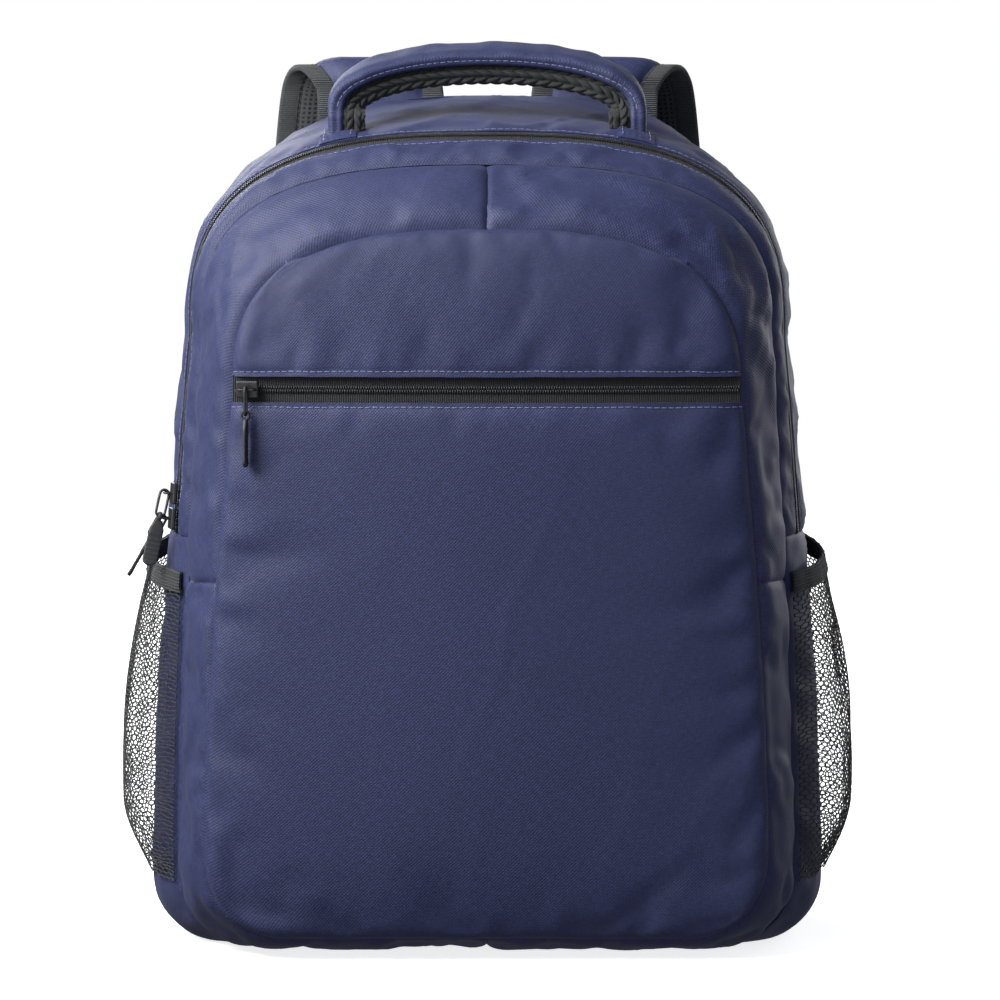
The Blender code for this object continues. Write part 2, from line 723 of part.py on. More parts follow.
def build_straps():
    def width(share):
        shoulder = min(share / 0.25, 1)
        taper = max((share - 0.55) / 0.45, 0)
        return (STRAP_WIDE - 0.008 * (1 - shoulder)) * (1 - taper) + STRAP_END_WIDE * taper

    for side, word in ((-1, "left"), (1, "right")):
        path = smooth_path(mirrored(STRAP_POINTS, side), 3)
        name = f"shoulder_strap_{word}"
        strap = strip(name, path, (1, 0, 0), width, STRAP_THICK, "navy_fabric", rounded=0.3)
        set_origin(strap, (side * STRAP_POINTS[0][0], 0.0905, 0.4390))
        place = frame_at((side * STRAP_POINTS[0][0], 0.0885, 0.4235), (1, 0, 0), (0, 1, 0))
        block(f"strap_anchor_{word}", (0.066, 0.028, 0.0036), place, "navy_fabric", 0.0012)
        build_ladder_lock(word, side)
        build_lower_webbing(word, side)


def build_ladder_lock(word, side):
    """A three-bar buckle below the strap's padded end."""
    across = Vector((1, 0, 0))
    up = (Vector(STRAP_POINTS[-1]) - Vector(LOCK_POINT)).normalized()
    up.x *= side
    place = frame_at(Vector((side * LOCK_POINT[0], LOCK_POINT[1], LOCK_POINT[2])), across, across.cross(up))
    lock = block(f"ladder_lock_{word}", (0.033, 0.028, 0.0034), place, "buckle_plastic", 0.0009)
    for shift in (-0.0068, 0.0068):
        moved = place @ Matrix.Translation((0, shift, 0))
        hole = block(f"ladder_lock_{word}_slot", (0.026, 0.0085, 0.02), moved, None)
        cut = lock.modifiers.new("slot", "BOOLEAN")
        cut.operation = "DIFFERENCE"
        cut.object = hide_helper(hole)
    set_origin(lock, place @ Vector((0, 0.0125, 0)))


def build_lower_webbing(word, side):
    """The adjusting webbing from the buckle down to a tab at the bottom corner of the back."""
    lock = Vector(LOCK_POINT)
    top = (lock.x, lock.y, lock.z - 0.0190)
    bottom = (LOWER_ANCHOR[0] - 0.004, LOWER_ANCHOR[1] + 0.0035, LOWER_ANCHOR[2] + 0.0235)
    middle = ((top[0] + bottom[0]) / 2 - 0.002, (top[1] + bottom[1]) / 2 + 0.004, (top[2] + bottom[2]) / 2)
    path = smooth_path(mirrored((top, middle, bottom), side), 5)
    strip(f"lower_webbing_{word}", path, (1, 0, 0), WEBBING_WIDE, WEBBING_THICK, "webbing")
    place = frame_at((side * LOWER_ANCHOR[0], LOWER_ANCHOR[1], LOWER_ANCHOR[2]), (1, 0, 0), (0, 1, 0))
    block(f"webbing_anchor_{word}", (0.040, 0.034, 0.0030), place, "webbing", 0.0010)


def build_back_pads():
    """Two foam pads under air mesh, with an open channel between them."""
    for side, word in ((-1, "left"), (1, "right")):
        place = frame_at((side * 0.0640, BACK_Y + FABRIC / 2 + GAP + 0.0045, 0.2300), (1, 0, 0), (0, 1, 0))
        block(f"back_pad_{word}", (0.0980, 0.3300, 0.0090), place, "air_mesh", 0.0035)


clear_scene()
build_shell()
build_net_pockets()
build_sliders()
build_handle()
build_straps()
build_back_pads()
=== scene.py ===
"""Looks of the school backpack: fabric skins, zips, net pockets, handle, straps and back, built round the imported
frame. Metres, +X right seen from the front, -Y to the front, +Z up."""

import json
import math

import bmesh
import bpy
import numpy as np
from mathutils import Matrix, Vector


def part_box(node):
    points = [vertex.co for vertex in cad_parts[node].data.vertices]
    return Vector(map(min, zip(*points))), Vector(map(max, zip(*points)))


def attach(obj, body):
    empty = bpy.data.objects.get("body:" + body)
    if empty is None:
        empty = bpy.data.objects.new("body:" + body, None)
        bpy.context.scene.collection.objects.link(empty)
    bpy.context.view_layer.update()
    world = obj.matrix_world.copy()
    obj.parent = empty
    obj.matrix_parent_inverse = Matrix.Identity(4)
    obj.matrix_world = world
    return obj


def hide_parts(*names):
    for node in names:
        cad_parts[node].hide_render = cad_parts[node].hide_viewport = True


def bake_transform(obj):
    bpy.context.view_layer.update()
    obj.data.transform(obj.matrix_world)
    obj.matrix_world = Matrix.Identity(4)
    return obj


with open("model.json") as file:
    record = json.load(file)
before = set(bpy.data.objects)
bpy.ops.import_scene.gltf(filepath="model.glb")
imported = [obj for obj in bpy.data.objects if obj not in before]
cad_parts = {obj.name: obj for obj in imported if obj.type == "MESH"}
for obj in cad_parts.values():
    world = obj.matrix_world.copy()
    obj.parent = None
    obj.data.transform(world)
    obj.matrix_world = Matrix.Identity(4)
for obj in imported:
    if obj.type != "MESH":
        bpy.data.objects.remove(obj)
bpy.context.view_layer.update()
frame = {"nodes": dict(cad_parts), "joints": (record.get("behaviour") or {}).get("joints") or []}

# Body shape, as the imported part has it
FRONT_Y = -0.080
POCKET_Y = -0.042
ZIP_Y = -0.020
MIDDLE_Y = 0.035
BACK_Y = 0.085
FRONT_BULGE = 0.010
HINGE_Z = 0.212
STATIONS = {
    FRONT_Y: dict(base=0.1425, shoulder=0.1275, low=0.011, shoulder_z=0.288, top=0.3695, corner=0.042, power=2.7),
    POCKET_Y: dict(base=0.1580, shoulder=0.1460, low=0.002, shoulder_z=0.320, top=0.4025, corner=0.036, power=2.8),
    ZIP_Y: dict(base=0.1690, shoulder=0.1525, low=0.000, shoulder_z=0.314, top=0.4175, corner=0.031, power=2.8),
    MIDDLE_Y: dict(base=0.1750, shoulder=0.1550, low=0.000, shoulder_z=0.308, top=0.428, corner=0.030, power=2.8),
    BACK_Y: dict(base=0.1670, shoulder=0.1470, low=0.000, shoulder_z=0.300, top=0.438, corner=0.042, power=2.7),
}
SIDE_EASE = 1.6
CUT = 0.53
CENTRE = np.array([0.0, 0.0, 0.22])
SIDES = ((-1, "left"), (1, "right"))
FRONT_ZIP_LOW_Z = 0.2830
FRONT_ZIP_HIGH_Z = 0.2955
GUSSET_SEAM_Z = 0.1910

# Fabric and sewing
CLOTH = 0.0009
CLOTH_FRAMES = 18
CLOTH_BEND = 0.35
CLOTH_STIFF = 12.0
SEAM_TAPE_INSET = 0.0042
SEAM_DEPTH = 0.0030
SEAM_REACH = 0.0022
STITCH_PITCH = 0.0036
STITCH_LONG = 0.0027
STITCH_R = 0.00027
ZIP_STITCH = 0.0022
FRONT_ZIP_STITCH = 0.0025
PATCH_STITCH = 0.0035
TAPE_INSET = 0.0013
TAPE_THICK = 0.0007
TOOTH_PITCH = 0.00125
TOOTH_LONG = 0.0019
TOOTH_R = 0.00052
TOOTH_OFFSET = 0.00085
ROD_SIDES = 6

# Net pockets
POCKET_FRONT_Y = -0.040
POCKET_BACK_Y = 0.070
POCKET_LOW_Z = 0.034
POCKET_HIGH_FRONT_Z = 0.194
POCKET_HIGH_BACK_Z = 0.207
ELASTIC_HIGH = 0.011
NET_BULGE = 0.0165
MOUTH_BULGE = 0.0075
NET_CELL = 0.0030
STRAND_R = 0.00034

# Handle and straps
HANDLE_Y = -0.0005
HANDLE_DEPTH = 0.022
HANDLE_THICK = 0.0086
HANDLE_HALF = 0.0725
HANDLE_FOOT = 0.0105
HANDLE_RISE = 0.0266
HANDLE_LEAN = 0.018
FOOT_STEPS = 14
HANDLE_APART = 0.0049
PLAIT_LANES = 4.0
PLAIT_PITCH = 0.0066
STRAP_WIDE = 0.076
STRAP_END_WIDE = 0.056
STRAP_THICK = 0.0100
BINDING = 0.0115
PAD_CORNER = 0.016
WEBBING_WIDE = 0.025
WEBBING_SPLIT_Z = 0.104
STRAP_POINTS = (
    (0.058, 0.0925, 0.4415), (0.060, 0.0940, 0.4475), (0.065, 0.1010, 0.4530), (0.071, 0.1110, 0.4495),
    (0.075, 0.1170, 0.4330), (0.080, 0.1200, 0.3800), (0.085, 0.1205, 0.3200), (0.090, 0.1200, 0.2500),
    (0.094, 0.1180, 0.1900), (0.097, 0.1160, 0.1560),
)
NECK_POINTS = (
    (0.0570, 0.0871, 0.4150), (0.0570, 0.0874, 0.4270), (0.0571, 0.0890, 0.4340), (0.0576, 0.0917, 0.4395),
    (0.0583, 0.0932, 0.4445),
)
EDGE_STEPS = (
    0.0, 0.0004, 0.0011, 0.0022, 0.0045, 0.0075, 0.0100, BINDING - 0.0003, BINDING + 0.0003, 0.0135, 0.0165, 0.0200,
    0.0245, 0.0300,
)

# Camera, light and stage
CAMERA_TARGET = (0.0067, 0.0, 0.2275)
CAMERA_RISE = 4.5
CAMERA_AWAY = 2.2
CAMERA_LENS = 152.6
AIM = (0, 0, 0.2)
WHITE = (1, 1, 1)
LAMPS = (
    ("key", (-1.0, -0.9, 1.9), (0.9, 0.9), 21.0, AIM, WHITE),
    ("graze", (-1.8, -0.5, 1.3), (0.9, 0.9), 11.0, AIM, WHITE),
    ("high", (-1.2, -0.35, 1.7), (0.9, 0.9), 13.0, AIM, WHITE),
    ("close", (-0.75, -0.5, 0.8), (0.5, 0.5), 11.0, (-0.1, -0.05, 0.3), WHITE),
    ("bounce", (-0.5, -1.3, 0.12), (1.4, 0.3), 3.5, (0, -0.08, 0.05), WHITE),
    ("rim", (1.5, 0.6, 0.6), (0.8, 0.8), 2.0, AIM, WHITE),
    ("cool_fill", (1.3, -1.8, 0.5), (1.2, 1.2), 3.6, AIM, (0.42, 0.56, 1.0)),
    ("back_key", (-0.9, 2.0, 1.3), (1.0, 1.0), 26.0, AIM, WHITE),
    ("back_fill", (1.3, 1.8, 0.7), (1.0, 1.0), 13.0, AIM, WHITE),
)
AMBIENT = 0.15
FLOOR_GLOW = 0.86


# Outline of the body

def station(y):
    """The outline's values at depth y."""
    if y >= ZIP_Y:
        a, b, c = ZIP_Y, MIDDLE_Y, BACK_Y
        weights = {
            a: (y - b) * (y - c) / ((a - b) * (a - c)),
            b: (y - a) * (y - c) / ((b - a) * (b - c)),
            c: (y - a) * (y - b) / ((c - a) * (c - b)),
        }
    else:
        a, b = (FRONT_Y, POCKET_Y) if y < POCKET_Y else (POCKET_Y, ZIP_Y)
        share = (y - a) / (b - a)
        weights = {a: 1 - share, b: share}
    return {key: sum(w * STATIONS[d][key] for d, w in weights.items()) for key in STATIONS[FRONT_Y]}


def half_width(y, z):
    """Half the body's width at depth y and height z."""
    s = station(y)
    if z > s["shoulder_z"]:
        rise = min((z - s["shoulder_z"]) / (s["top"] - s["shoulder_z"]), 1)
        return s["shoulder"] * (1 - rise ** s["power"]) ** (1 / s["power"])
    side_low = s["low"] + s["corner"]
    if z < side_low:
        drop = min((side_low - z) / s["corner"], 1)
        return s["base"] - s["corner"] * (1 - math.sqrt(1 - drop * drop))
    t = (z - side_low) / (s["shoulder_z"] - side_low)
    return s["base"] + (s["shoulder"] - s["base"]) * t ** SIDE_EASE


def top_height(y, x):
    """Height of the arch at depth y above a given x."""
    s = station(y)
    share = min(abs(x) / s["shoulder"], 1)
    return s["shoulder_z"] + (s["top"] - s["shoulder_z"]) * (1 - share ** s["power"]) ** (1 / s["power"])


def half_curve(y):
    """Right half of the outline at depth y, from the middle of the base to the middle of the top."""
    s = station(y)
    turn = np.linspace(0, math.pi / 2, 24)
    side = np.linspace(0, 1, 60)[1:-1]
    arch = np.linspace(0, math.pi / 2, 160)
    side_low = s["low"] + s["corner"]
    x = np.concatenate([
        [0.0],
        s["base"] - s["corner"] + s["corner"] * np.sin(turn),
        s["base"] + (s["shoulder"] - s["base"]) * side ** SIDE_EASE,
        s["shoulder"] * np.abs(np.cos(arch)) ** (2 / s["power"]),
    ])
    z = np.concatenate([
        [s["low"]],
        s["low"] + s["corner"] * (1 - np.cos(turn)),
        side_low + (s["shoulder_z"] - side_low) * side,
        s["shoulder_z"] + (s["top"] - s["shoulder_z"]) * np.sin(arch) ** (2 / s["power"]),
    ])
    x[-1] = 0.0
    return x, z


def outline_points(y, share, sign):
    """x and z round the outline at depth y, and the distances round it. share is 0 at the base's middle, CUT at the
    hinge's height and 1 at the top's middle."""
    x, z = half_curve(y)
    run = run_of(x, z)
    split = np.interp(HINGE_Z, z[1:], run[1:])
    place = np.interp(share, [0, CUT, 1], [0, split, run[-1]])
    return np.interp(place, run, x) * sign, np.interp(place, run, z), place


def front_depth(x, z):
    """Depth of the front panel's shallow dome."""
    s = station(FRONT_Y)
    middle = (s["low"] + s["top"]) / 2
    width = half_widths(np.full_like(z, FRONT_Y), np.clip(z, s["low"], s["top"] - 1e-5))
    across = np.minimum(np.abs(x) / np.maximum(width, 1e-4), 1)
    up = np.minimum(np.abs(z - middle) / (s["top"] - middle), 1)
    return FRONT_Y - FRONT_BULGE * (1 - across ** 2) * (1 - up ** 4)


# Small numeric helpers

def lattice_noise(x, y, seed):
    """Smooth noise between -1 and 1 over a plane."""
    table = np.random.default_rng(seed).uniform(-1, 1, (64, 64))
    i, j = np.floor(x).astype(int), np.floor(y).astype(int)
    u, v = x - i, y - j
    u, v = u * u * u * (u * (u * 6 - 15) + 10), v * v * v * (v * (v * 6 - 15) + 10)

    def at(a, b):
        return table[(i + a) % 64, (j + b) % 64]

    low = at(0, 0) * (1 - u) + at(1, 0) * u
    high = at(0, 1) * (1 - u) + at(1, 1) * u
    return low * (1 - v) + high * v


def cubic(grid, positions, axis):
    """Catmull-Rom samples of a grid along one axis, at fractional positions."""
    count = grid.shape[axis]
    i = np.clip(np.floor(positions).astype(int), 0, count - 2)
    shape = [1] * grid.ndim
    shape[axis] = len(positions)
    t = (positions - i).reshape(shape)
    a, b, c, d = (np.take(grid, np.clip(i + k, 0, count - 1), axis) for k in (-1, 0, 1, 2))
    return 0.5 * (2 * b + (c - a) * t + (2 * a - 5 * b + 4 * c - d) * t ** 2 + (3 * b - a - 3 * c + d) * t ** 3)


def unit(vectors):
    """Vectors made one long."""
    return vectors / np.linalg.norm(vectors, axis=-1, keepdims=True)


def run_of(*coordinates):
    """Distance along a line to each of its points."""
    return np.concatenate([[0.0], np.cumsum(np.sqrt(sum(np.diff(c) ** 2 for c in coordinates)))])


def half_widths(y, z):
    """half_width over whole arrays."""
    return np.array([half_width(a, b) for a, b in zip(np.ravel(y), np.ravel(z))]).reshape(np.shape(z))


def spread(length, step, fine=()):
    """Positions from 0 to length: about step apart, with extra ones around each fine place."""
    places = list(np.linspace(0, length, max(int(round(length / step)), 2) + 1))
    for centre in fine:
        for gap in (0.0, 0.0007, 0.0015, 0.0025, 0.0038):
            places += [centre - gap, centre + gap]
    places = sorted(p for p in places if -1e-9 <= p <= length + 1e-9)
    kept = [places[0]]
    for p in places[1:]:
        if p - kept[-1] > 0.00045:
            kept.append(p)
    kept[-1] = length
    return np.array(kept)


def grid_normals(points):
    """Unit normals of a grid of points, to the side that columns x rows face."""
    du = np.gradient(points, axis=1)
    dv = np.gradient(points, axis=0)
    normal = np.cross(du, dv)
    if min(points.shape[:2]) > 6:
        for row in (0, -1):
            for column in (0, -1):
                near = np.s_[:2] if row == 0 else np.s_[-2:], np.s_[:2] if column == 0 else np.s_[-2:]
                normal[near] = normal[2 if row == 0 else -3, 2 if column == 0 else -3]
    return normal / np.maximum(np.linalg.norm(normal, axis=2), 1e-12)[..., None]


def turned_out(points, uv, sign):
    """A grid and its UVs, with the columns turned round if sign is -1, so that the grid's normals face out."""
    return (points, uv) if sign > 0 else (points[:, ::-1], uv[:, ::-1])


# Meshes

def link(name, mesh, looks):
    for look in looks:
        mesh.materials.append(LOOKS[look])
    obj = bpy.data.objects.new(name, mesh)
    bpy.context.scene.collection.objects.link(obj)
    mesh.shade_smooth()
    return obj


def add_mesh(name, points, faces, look, sharp=40):
    mesh = bpy.data.meshes.new(name)
    mesh.from_pydata([tuple(p) for p in points], [], [tuple(f) for f in faces])
    obj = link(name, mesh, [look])
    mesh.set_sharp_from_angle(angle=math.radians(sharp))
    return obj


def grid_faces(rows, columns):
    """Vertex numbers of a grid, and its four-sided faces."""
    index = np.arange(rows * columns).reshape(rows, columns)
    return index, np.stack([index[:-1, :-1], index[:-1, 1:], index[1:, 1:], index[1:, :-1]], axis=-1).reshape(-1, 4)


def set_uv(mesh, uv):
    """Gives every face corner the UV of its vertex."""
    layer = mesh.uv_layers.new(name="cloth")
    corner = np.zeros(len(mesh.loops), np.int32)
    mesh.loops.foreach_get("vertex_index", corner)
    layer.data.foreach_set("uv", uv[corner].astype(np.float32).ravel())


def tubes(name, places, sides, look, sharp):
    """Many short closed tubes in one mesh. places lists the vertices of one tube, ring by ring, each as an array of
    that vertex's position in every tube."""
    verts = np.stack(places, axis=1)
    each = len(places)
    faces = []
    for a in range(0, each - sides, sides):
        for k in range(sides):
            after = (k + 1) % sides
            faces.append((a + k, a + after, a + sides + after, a + sides + k))
    caps = [list(range(sides))[::-1], list(range(each - sides, each))]
    shift = np.arange(len(verts))[:, None, None] * each
    quads = (np.array(faces) + shift).reshape(-1, 4).tolist()
    ends = (np.array(caps) + shift).reshape(-1, sides).tolist()
    return add_mesh(name, verts.reshape(-1, 3), quads + ends, look, sharp)


def sheet_mesh(name, points, uv, looks, slot, thick=CLOTH):
    """A fabric skin with a real thickness: the grid is its outer face, and the lining is its inner one."""
    index, quads = grid_faces(*points.shape[:2])
    size = index.size
    inner = points - grid_normals(points) * thick
    verts = np.concatenate([points.reshape(-1, 3), inner.reshape(-1, 3)])
    rim = np.concatenate([index[0, :-1], index[:-1, -1], index[-1, :0:-1], index[:0:-1, 0]])
    after = np.roll(rim, -1)
    edge = np.stack([rim, rim + size, after + size, after], axis=-1)
    faces = np.concatenate([quads, quads[:, ::-1] + size, edge])
    mesh = bpy.data.meshes.new(name)
    mesh.from_pydata(verts.tolist(), [], faces.tolist())
    set_uv(mesh, np.concatenate([uv.reshape(-1, 2)] * 2))
    obj = link(name, mesh, looks)
    if len(looks) > 1:
        marks = np.zeros(len(faces), np.int32)
        marks[len(quads):2 * len(quads)] = 1
        mesh.polygons.foreach_set("material_index", marks)
    mesh.set_sharp_from_angle(angle=math.radians(60))
    return obj


def simulate(points, pressure, grow, cap):
    """How far cloth over this grid moves when it is pinned at its rim, cut a little too large, and pushed from
    inside."""
    rows, columns = points.shape[:2]
    index, quads = grid_faces(rows, columns)
    mesh = bpy.data.meshes.new("cloth_trial")
    start = points.reshape(-1, 3)
    mesh.from_pydata(start.tolist(), [], quads.tolist())
    obj = bpy.data.objects.new("cloth_trial", mesh)
    bpy.context.scene.collection.objects.link(obj)
    held = np.zeros((rows, columns), bool)
    held[[0, -1], :] = True
    held[:, [0, -1]] = True
    group = obj.vertex_groups.new(name="pin")
    group.add(index[held].tolist(), 1.0, "REPLACE")
    cloth = obj.modifiers.new("cloth", "CLOTH")
    settings = cloth.settings
    settings.quality = 6
    settings.mass = 0.2
    settings.vertex_group_mass = "pin"
    settings.tension_stiffness = CLOTH_STIFF
    settings.compression_stiffness = CLOTH_STIFF
    settings.shear_stiffness = CLOTH_STIFF * 0.4
    settings.bending_stiffness = CLOTH_BEND
    settings.air_damping = 4.0
    settings.shrink_min = -grow
    settings.use_pressure = True
    settings.uniform_pressure_force = pressure
    settings.effector_weights.gravity = 0.0
    cloth.collision_settings.use_collision = False
    scene = bpy.context.scene
    for number in range(1, CLOTH_FRAMES + 1):
        scene.frame_set(number)
    done = obj.evaluated_get(bpy.context.evaluated_depsgraph_get())
    end = np.zeros(len(start) * 3)
    done.data.vertices.foreach_get("co", end)
    moved = end.reshape(-1, 3) - start
    bpy.data.objects.remove(obj)
    bpy.data.meshes.remove(mesh)
    scene.frame_set(1)
    size = np.linalg.norm(moved, axis=1)
    moved *= (cap * np.tanh(size / cap) / np.maximum(size, 1e-9))[:, None]
    return moved.reshape(rows, columns, 3)


def facing(points, towards=None):
    """+1 if a grid's normals face away from the body's middle line, or along towards, and -1 if not."""
    outward = (points - CENTRE) * (1, 0, 1) if towards is None else np.array(towards)
    return 1.0 if np.sum(grid_normals(points) * outward) > 0 else -1.0


def draped(surface, u, v, cell, pressure, grow, cap, seed, towards=None, floor=False):
    """Points of a skin: surface(u, v) in metres along its grid, plus the folds of simulated cloth."""
    cu = np.linspace(u[0], u[-1], max(int(round((u[-1] - u[0]) / cell)), 3) + 1)
    cv = np.linspace(v[0], v[-1], max(int(round((v[-1] - v[0]) / cell)), 3) + 1)
    coarse = surface(cu, cv)
    if facing(coarse, towards) < 0:
        pressure = -pressure
    normal = grid_normals(coarse)
    gu, gv = np.meshgrid(cu, cv)
    ragged = lattice_noise(gu / 0.021, gv / 0.021, seed) * 0.0006
    edge = np.minimum.reduce([gu - cu[0], cu[-1] - gu, gv - cv[0], cv[-1] - gv])
    uneven = coarse + normal * (ragged * np.clip(edge / 0.01, 0, 1))[..., None]
    moved = simulate(uneven, pressure, grow, cap)
    if floor:
        moved[..., 2] = np.where(coarse[..., 2] < 0.02, np.maximum(moved[..., 2], 0), moved[..., 2])
    fine = cubic(moved, (v - cv[0]) / (cv[-1] - cv[0]) * (len(cv) - 1), 0)
    fine = cubic(fine, (u - cu[0]) / (cu[-1] - cu[0]) * (len(cu) - 1), 1)
    return surface(u, v) + fine


def puckers(along, away, seed, high=0.0006, wave=0.011, reach=0.012):
    """Small gathers that a row of stitches pulls into cloth: ridges across the seam that die away from it."""
    ridge = 1 - 2 * np.abs(lattice_noise(along / wave, away / (reach * 2.2), seed))
    fine = lattice_noise(along / (wave * 0.45), away / (reach * 1.5), seed + 7)
    strength = 0.55 + 0.45 * lattice_noise(along / 0.06, along * 0, seed + 3)
    near = np.exp(-away / reach) * (1 - np.exp(-away / 0.0016))
    return high * (0.75 * ridge + 0.35 * fine) * strength * near


def groove(away, depth=SEAM_DEPTH, reach=SEAM_REACH):
    """How far a seam pulls cloth in, at a distance from the stitches."""
    return -depth * np.exp(-(np.abs(away) / reach) ** 1.25)


def creases(u, v, seed, high, long, wide, lean=0.0):
    """Long soft folds, ridged on one side, that lean across the cloth."""
    a = (u * math.cos(lean) + v * math.sin(lean)) / long
    b = (-u * math.sin(lean) + v * math.cos(lean)) / wide
    warp = lattice_noise(a * 1.7, b * 1.7, seed + 11) * 0.5
    ridge = 1 - np.abs(lattice_noise(a, b + warp, seed))
    return high * (ridge ** 3 - 0.35)


def end_seams(gu, length, depth=0.0008):
    """The seams at both ends of a strip."""
    return groove(gu, depth, 0.0016) + groove(length - gu, depth, 0.0016)


def inside_of(reach, *gaps):
    """0 at a skin's edges and 1 from reach inwards, given the gap to each edge."""
    return np.clip(np.minimum.reduce(gaps) / reach, 0, 1)


# Fine rows: stitches and zip teeth

def rods(name, centres, along, out, long, radius, look, slot, flat=0.75):
    """Many small rounded rods in one mesh: one at each centre, along its own direction, standing on its own
    normal."""
    centres, along, out = (np.asarray(a, float).reshape(-1, 3) for a in (centres, along, out))
    along = unit(along)
    out = unit(out - along * np.sum(out * along, axis=1)[:, None])
    side = np.cross(along, out)
    rings = []
    for place, swell in ((-0.5, 0.35), (-0.42, 0.85), (0.42, 0.85), (0.5, 0.35)):
        for turn in 2 * math.pi * np.arange(ROD_SIDES) / ROD_SIDES:
            offset = side * (radius * swell * math.cos(turn)) + out * (radius * flat * swell * math.sin(turn))
            rings.append(centres + along * (long * place) + offset)
    return tubes(name, rings, ROD_SIDES, look, 80)


def along_line(points, normals, pitch):
    """Evenly spaced places on a polyline, with their directions and normals."""
    run = run_of(*points.T)
    places = np.arange(pitch / 2, run[-1], pitch)

    def at(where, rows):
        return np.stack([np.interp(where, run, row) for row in rows.T], axis=1)

    ahead, behind = at(places + pitch / 3, points), at(places - pitch / 3, points)
    return at(places, points), ahead - behind, at(places, normals)


def stitch_row(name, points, normals, look, slot):
    """A row of lock stitches lying on a surface line."""
    return rods(name, *along_line(points, normals, STITCH_PITCH), STITCH_LONG, STITCH_R, look, slot)


# Materials

LOOKS = {}
SHEEN_TINT = (0.80, 0.84, 1.0, 1)


class Nodes:
    """A node tree, with short names for what this script adds to it."""

    def __init__(self, tree):
        self.tree = tree

    def add(self, kind, **inputs):
        node = self.tree.nodes.new(f"ShaderNode{kind}")
        for name, value in inputs.items():
            self.plug(value, node.inputs[name])
        return node

    def plug(self, value, socket):
        """Links another node's output to a socket, or sets it to a number or colour."""
        if isinstance(value, bpy.types.NodeSocket):
            self.tree.links.new(value, socket)
        else:
            socket.default_value = value

    def calc(self, operation, *values, clamp=False):
        node = self.add("Math")
        node.operation = operation
        node.use_clamp = clamp
        for value, socket in zip(values, node.inputs):
            self.plug(value, socket)
        return node.outputs[0]

    def plus(self, a, b):
        return self.calc("ADD", a, b)

    def times(self, a, b):
        return self.calc("MULTIPLY", a, b)

    def stretched(self, source, scale):
        return self.add("Mapping", Vector=source, Scale=scale).outputs["Vector"]

    def noise(self, vector, scale, detail=2.0, rough=0.5):
        return self.add("TexNoise", Vector=vector, Scale=scale, Detail=detail, Roughness=rough).outputs["Fac"]

    def ramp(self, factor, stops):
        node = self.add("ValToRGB", Fac=factor)
        while len(node.color_ramp.elements) < len(stops):
            node.color_ramp.elements.new(0.5)
        for element, (place, colour) in zip(node.color_ramp.elements, stops):
            element.position = place
            element.color = (*colour, 1)
        return node.outputs["Color"]


class Look(Nodes):
    """A Principled material with its fixed values on the shader itself, and the two coordinates its nodes use."""

    def __init__(self, name, roughness, sheen=0.0, tint=(1, 1, 1, 1), metallic=0.0, specular=0.5):
        material = bpy.data.materials.new(name)
        material.use_nodes = True
        super().__init__(material.node_tree)
        self.shader = material.node_tree.nodes["Principled BSDF"]
        fixed = {"Roughness": roughness, "Metallic": metallic, "Specular IOR Level": specular, "Sheen Weight": sheen,
                 "Sheen Roughness": 0.5, "Sheen Tint": tint}
        for socket, value in fixed.items():
            self.shader.inputs[socket].default_value = value
        coordinates = self.add("TexCoord")
        self.uv, self.place = coordinates.outputs["UV"], coordinates.outputs["Object"]
        LOOKS[name] = material

    def paint(self, factor, *stops):
        self.plug(self.ramp(factor, stops), self.shader.inputs["Base Color"])

    def bump(self, height, distance, strength=1.0):
        node = self.add("Bump", Strength=strength, Distance=distance, Height=height)
        self.plug(node.outputs["Normal"], self.shader.inputs["Normal"])


def woven(name, dark, mid, light, roughness, sheen, gloss=0.5, pitch=0.00085, depth=0.00014, slub=1.0):
    """Plain-woven polyester: crossing threads, flecks along both of them, soft patches and a dull sheen."""
    look = Look(name, roughness, sheen, SHEEN_TINT, specular=gloss)
    split = look.add("SeparateXYZ", Vector=look.uv)
    warp, weft = (look.calc("SINE", look.times(split.outputs[axis], math.pi / pitch)) for axis in (0, 1))
    threads = look.calc("MULTIPLY_ADD", look.times(warp, weft), 0.5, 0.5)
    fleck_u = look.noise(look.stretched(look.uv, (1500, 260, 1)), 1.0, 1.0)
    fleck_v = look.noise(look.stretched(look.uv, (260, 1500, 1)), 1.0, 1.0)
    patches = look.noise(look.place, 24.0, 3.0, 0.6)
    mix = look.plus(look.times(fleck_u, 0.42 * slub), look.times(fleck_v, 0.42 * slub))
    mix = look.plus(look.plus(mix, look.times(patches, 0.09)), look.times(threads, 0.12))
    mix = look.calc("SUBTRACT", mix, 0.42 * slub + 0.105 - 0.5)
    look.paint(mix, (0.37, dark), (0.5, mid), (0.63, light))
    look.plug(look.calc("MULTIPLY_ADD", fleck_u, 0.18, roughness - 0.09), look.shader.inputs["Roughness"])
    look.bump(look.plus(threads, look.times(fleck_v, 0.8)), depth)


def ribbed(name, dark, light, roughness, pitch, along=0, depth=0.00022):
    """Tape, webbing or elastic: fine ribs one way, and a finer twill across them."""
    look = Look(name, roughness, 0.1, specular=0.35)
    split = look.add("SeparateXYZ", Vector=look.uv)
    turn = 2 * math.pi / pitch
    ribs = look.calc("SINE", look.times(split.outputs[along], turn))
    slant = look.plus(look.times(split.outputs[0], turn * 1.7), look.times(split.outputs[1], turn * 1.7))
    fleck = look.noise(look.stretched(look.uv, (1300, 1300, 1)), 1.0, 2.0)
    patches = look.noise(look.place, 60.0, 2.0)
    height = look.plus(ribs, look.times(look.calc("SINE", slant), 0.35))
    mix = look.plus(look.calc("MULTIPLY_ADD", height, 0.14, 0.1), look.times(fleck, 0.5))
    look.paint(look.plus(mix, look.times(patches, 0.3)), (0.25, dark), (0.75, light))
    look.bump(height, depth)


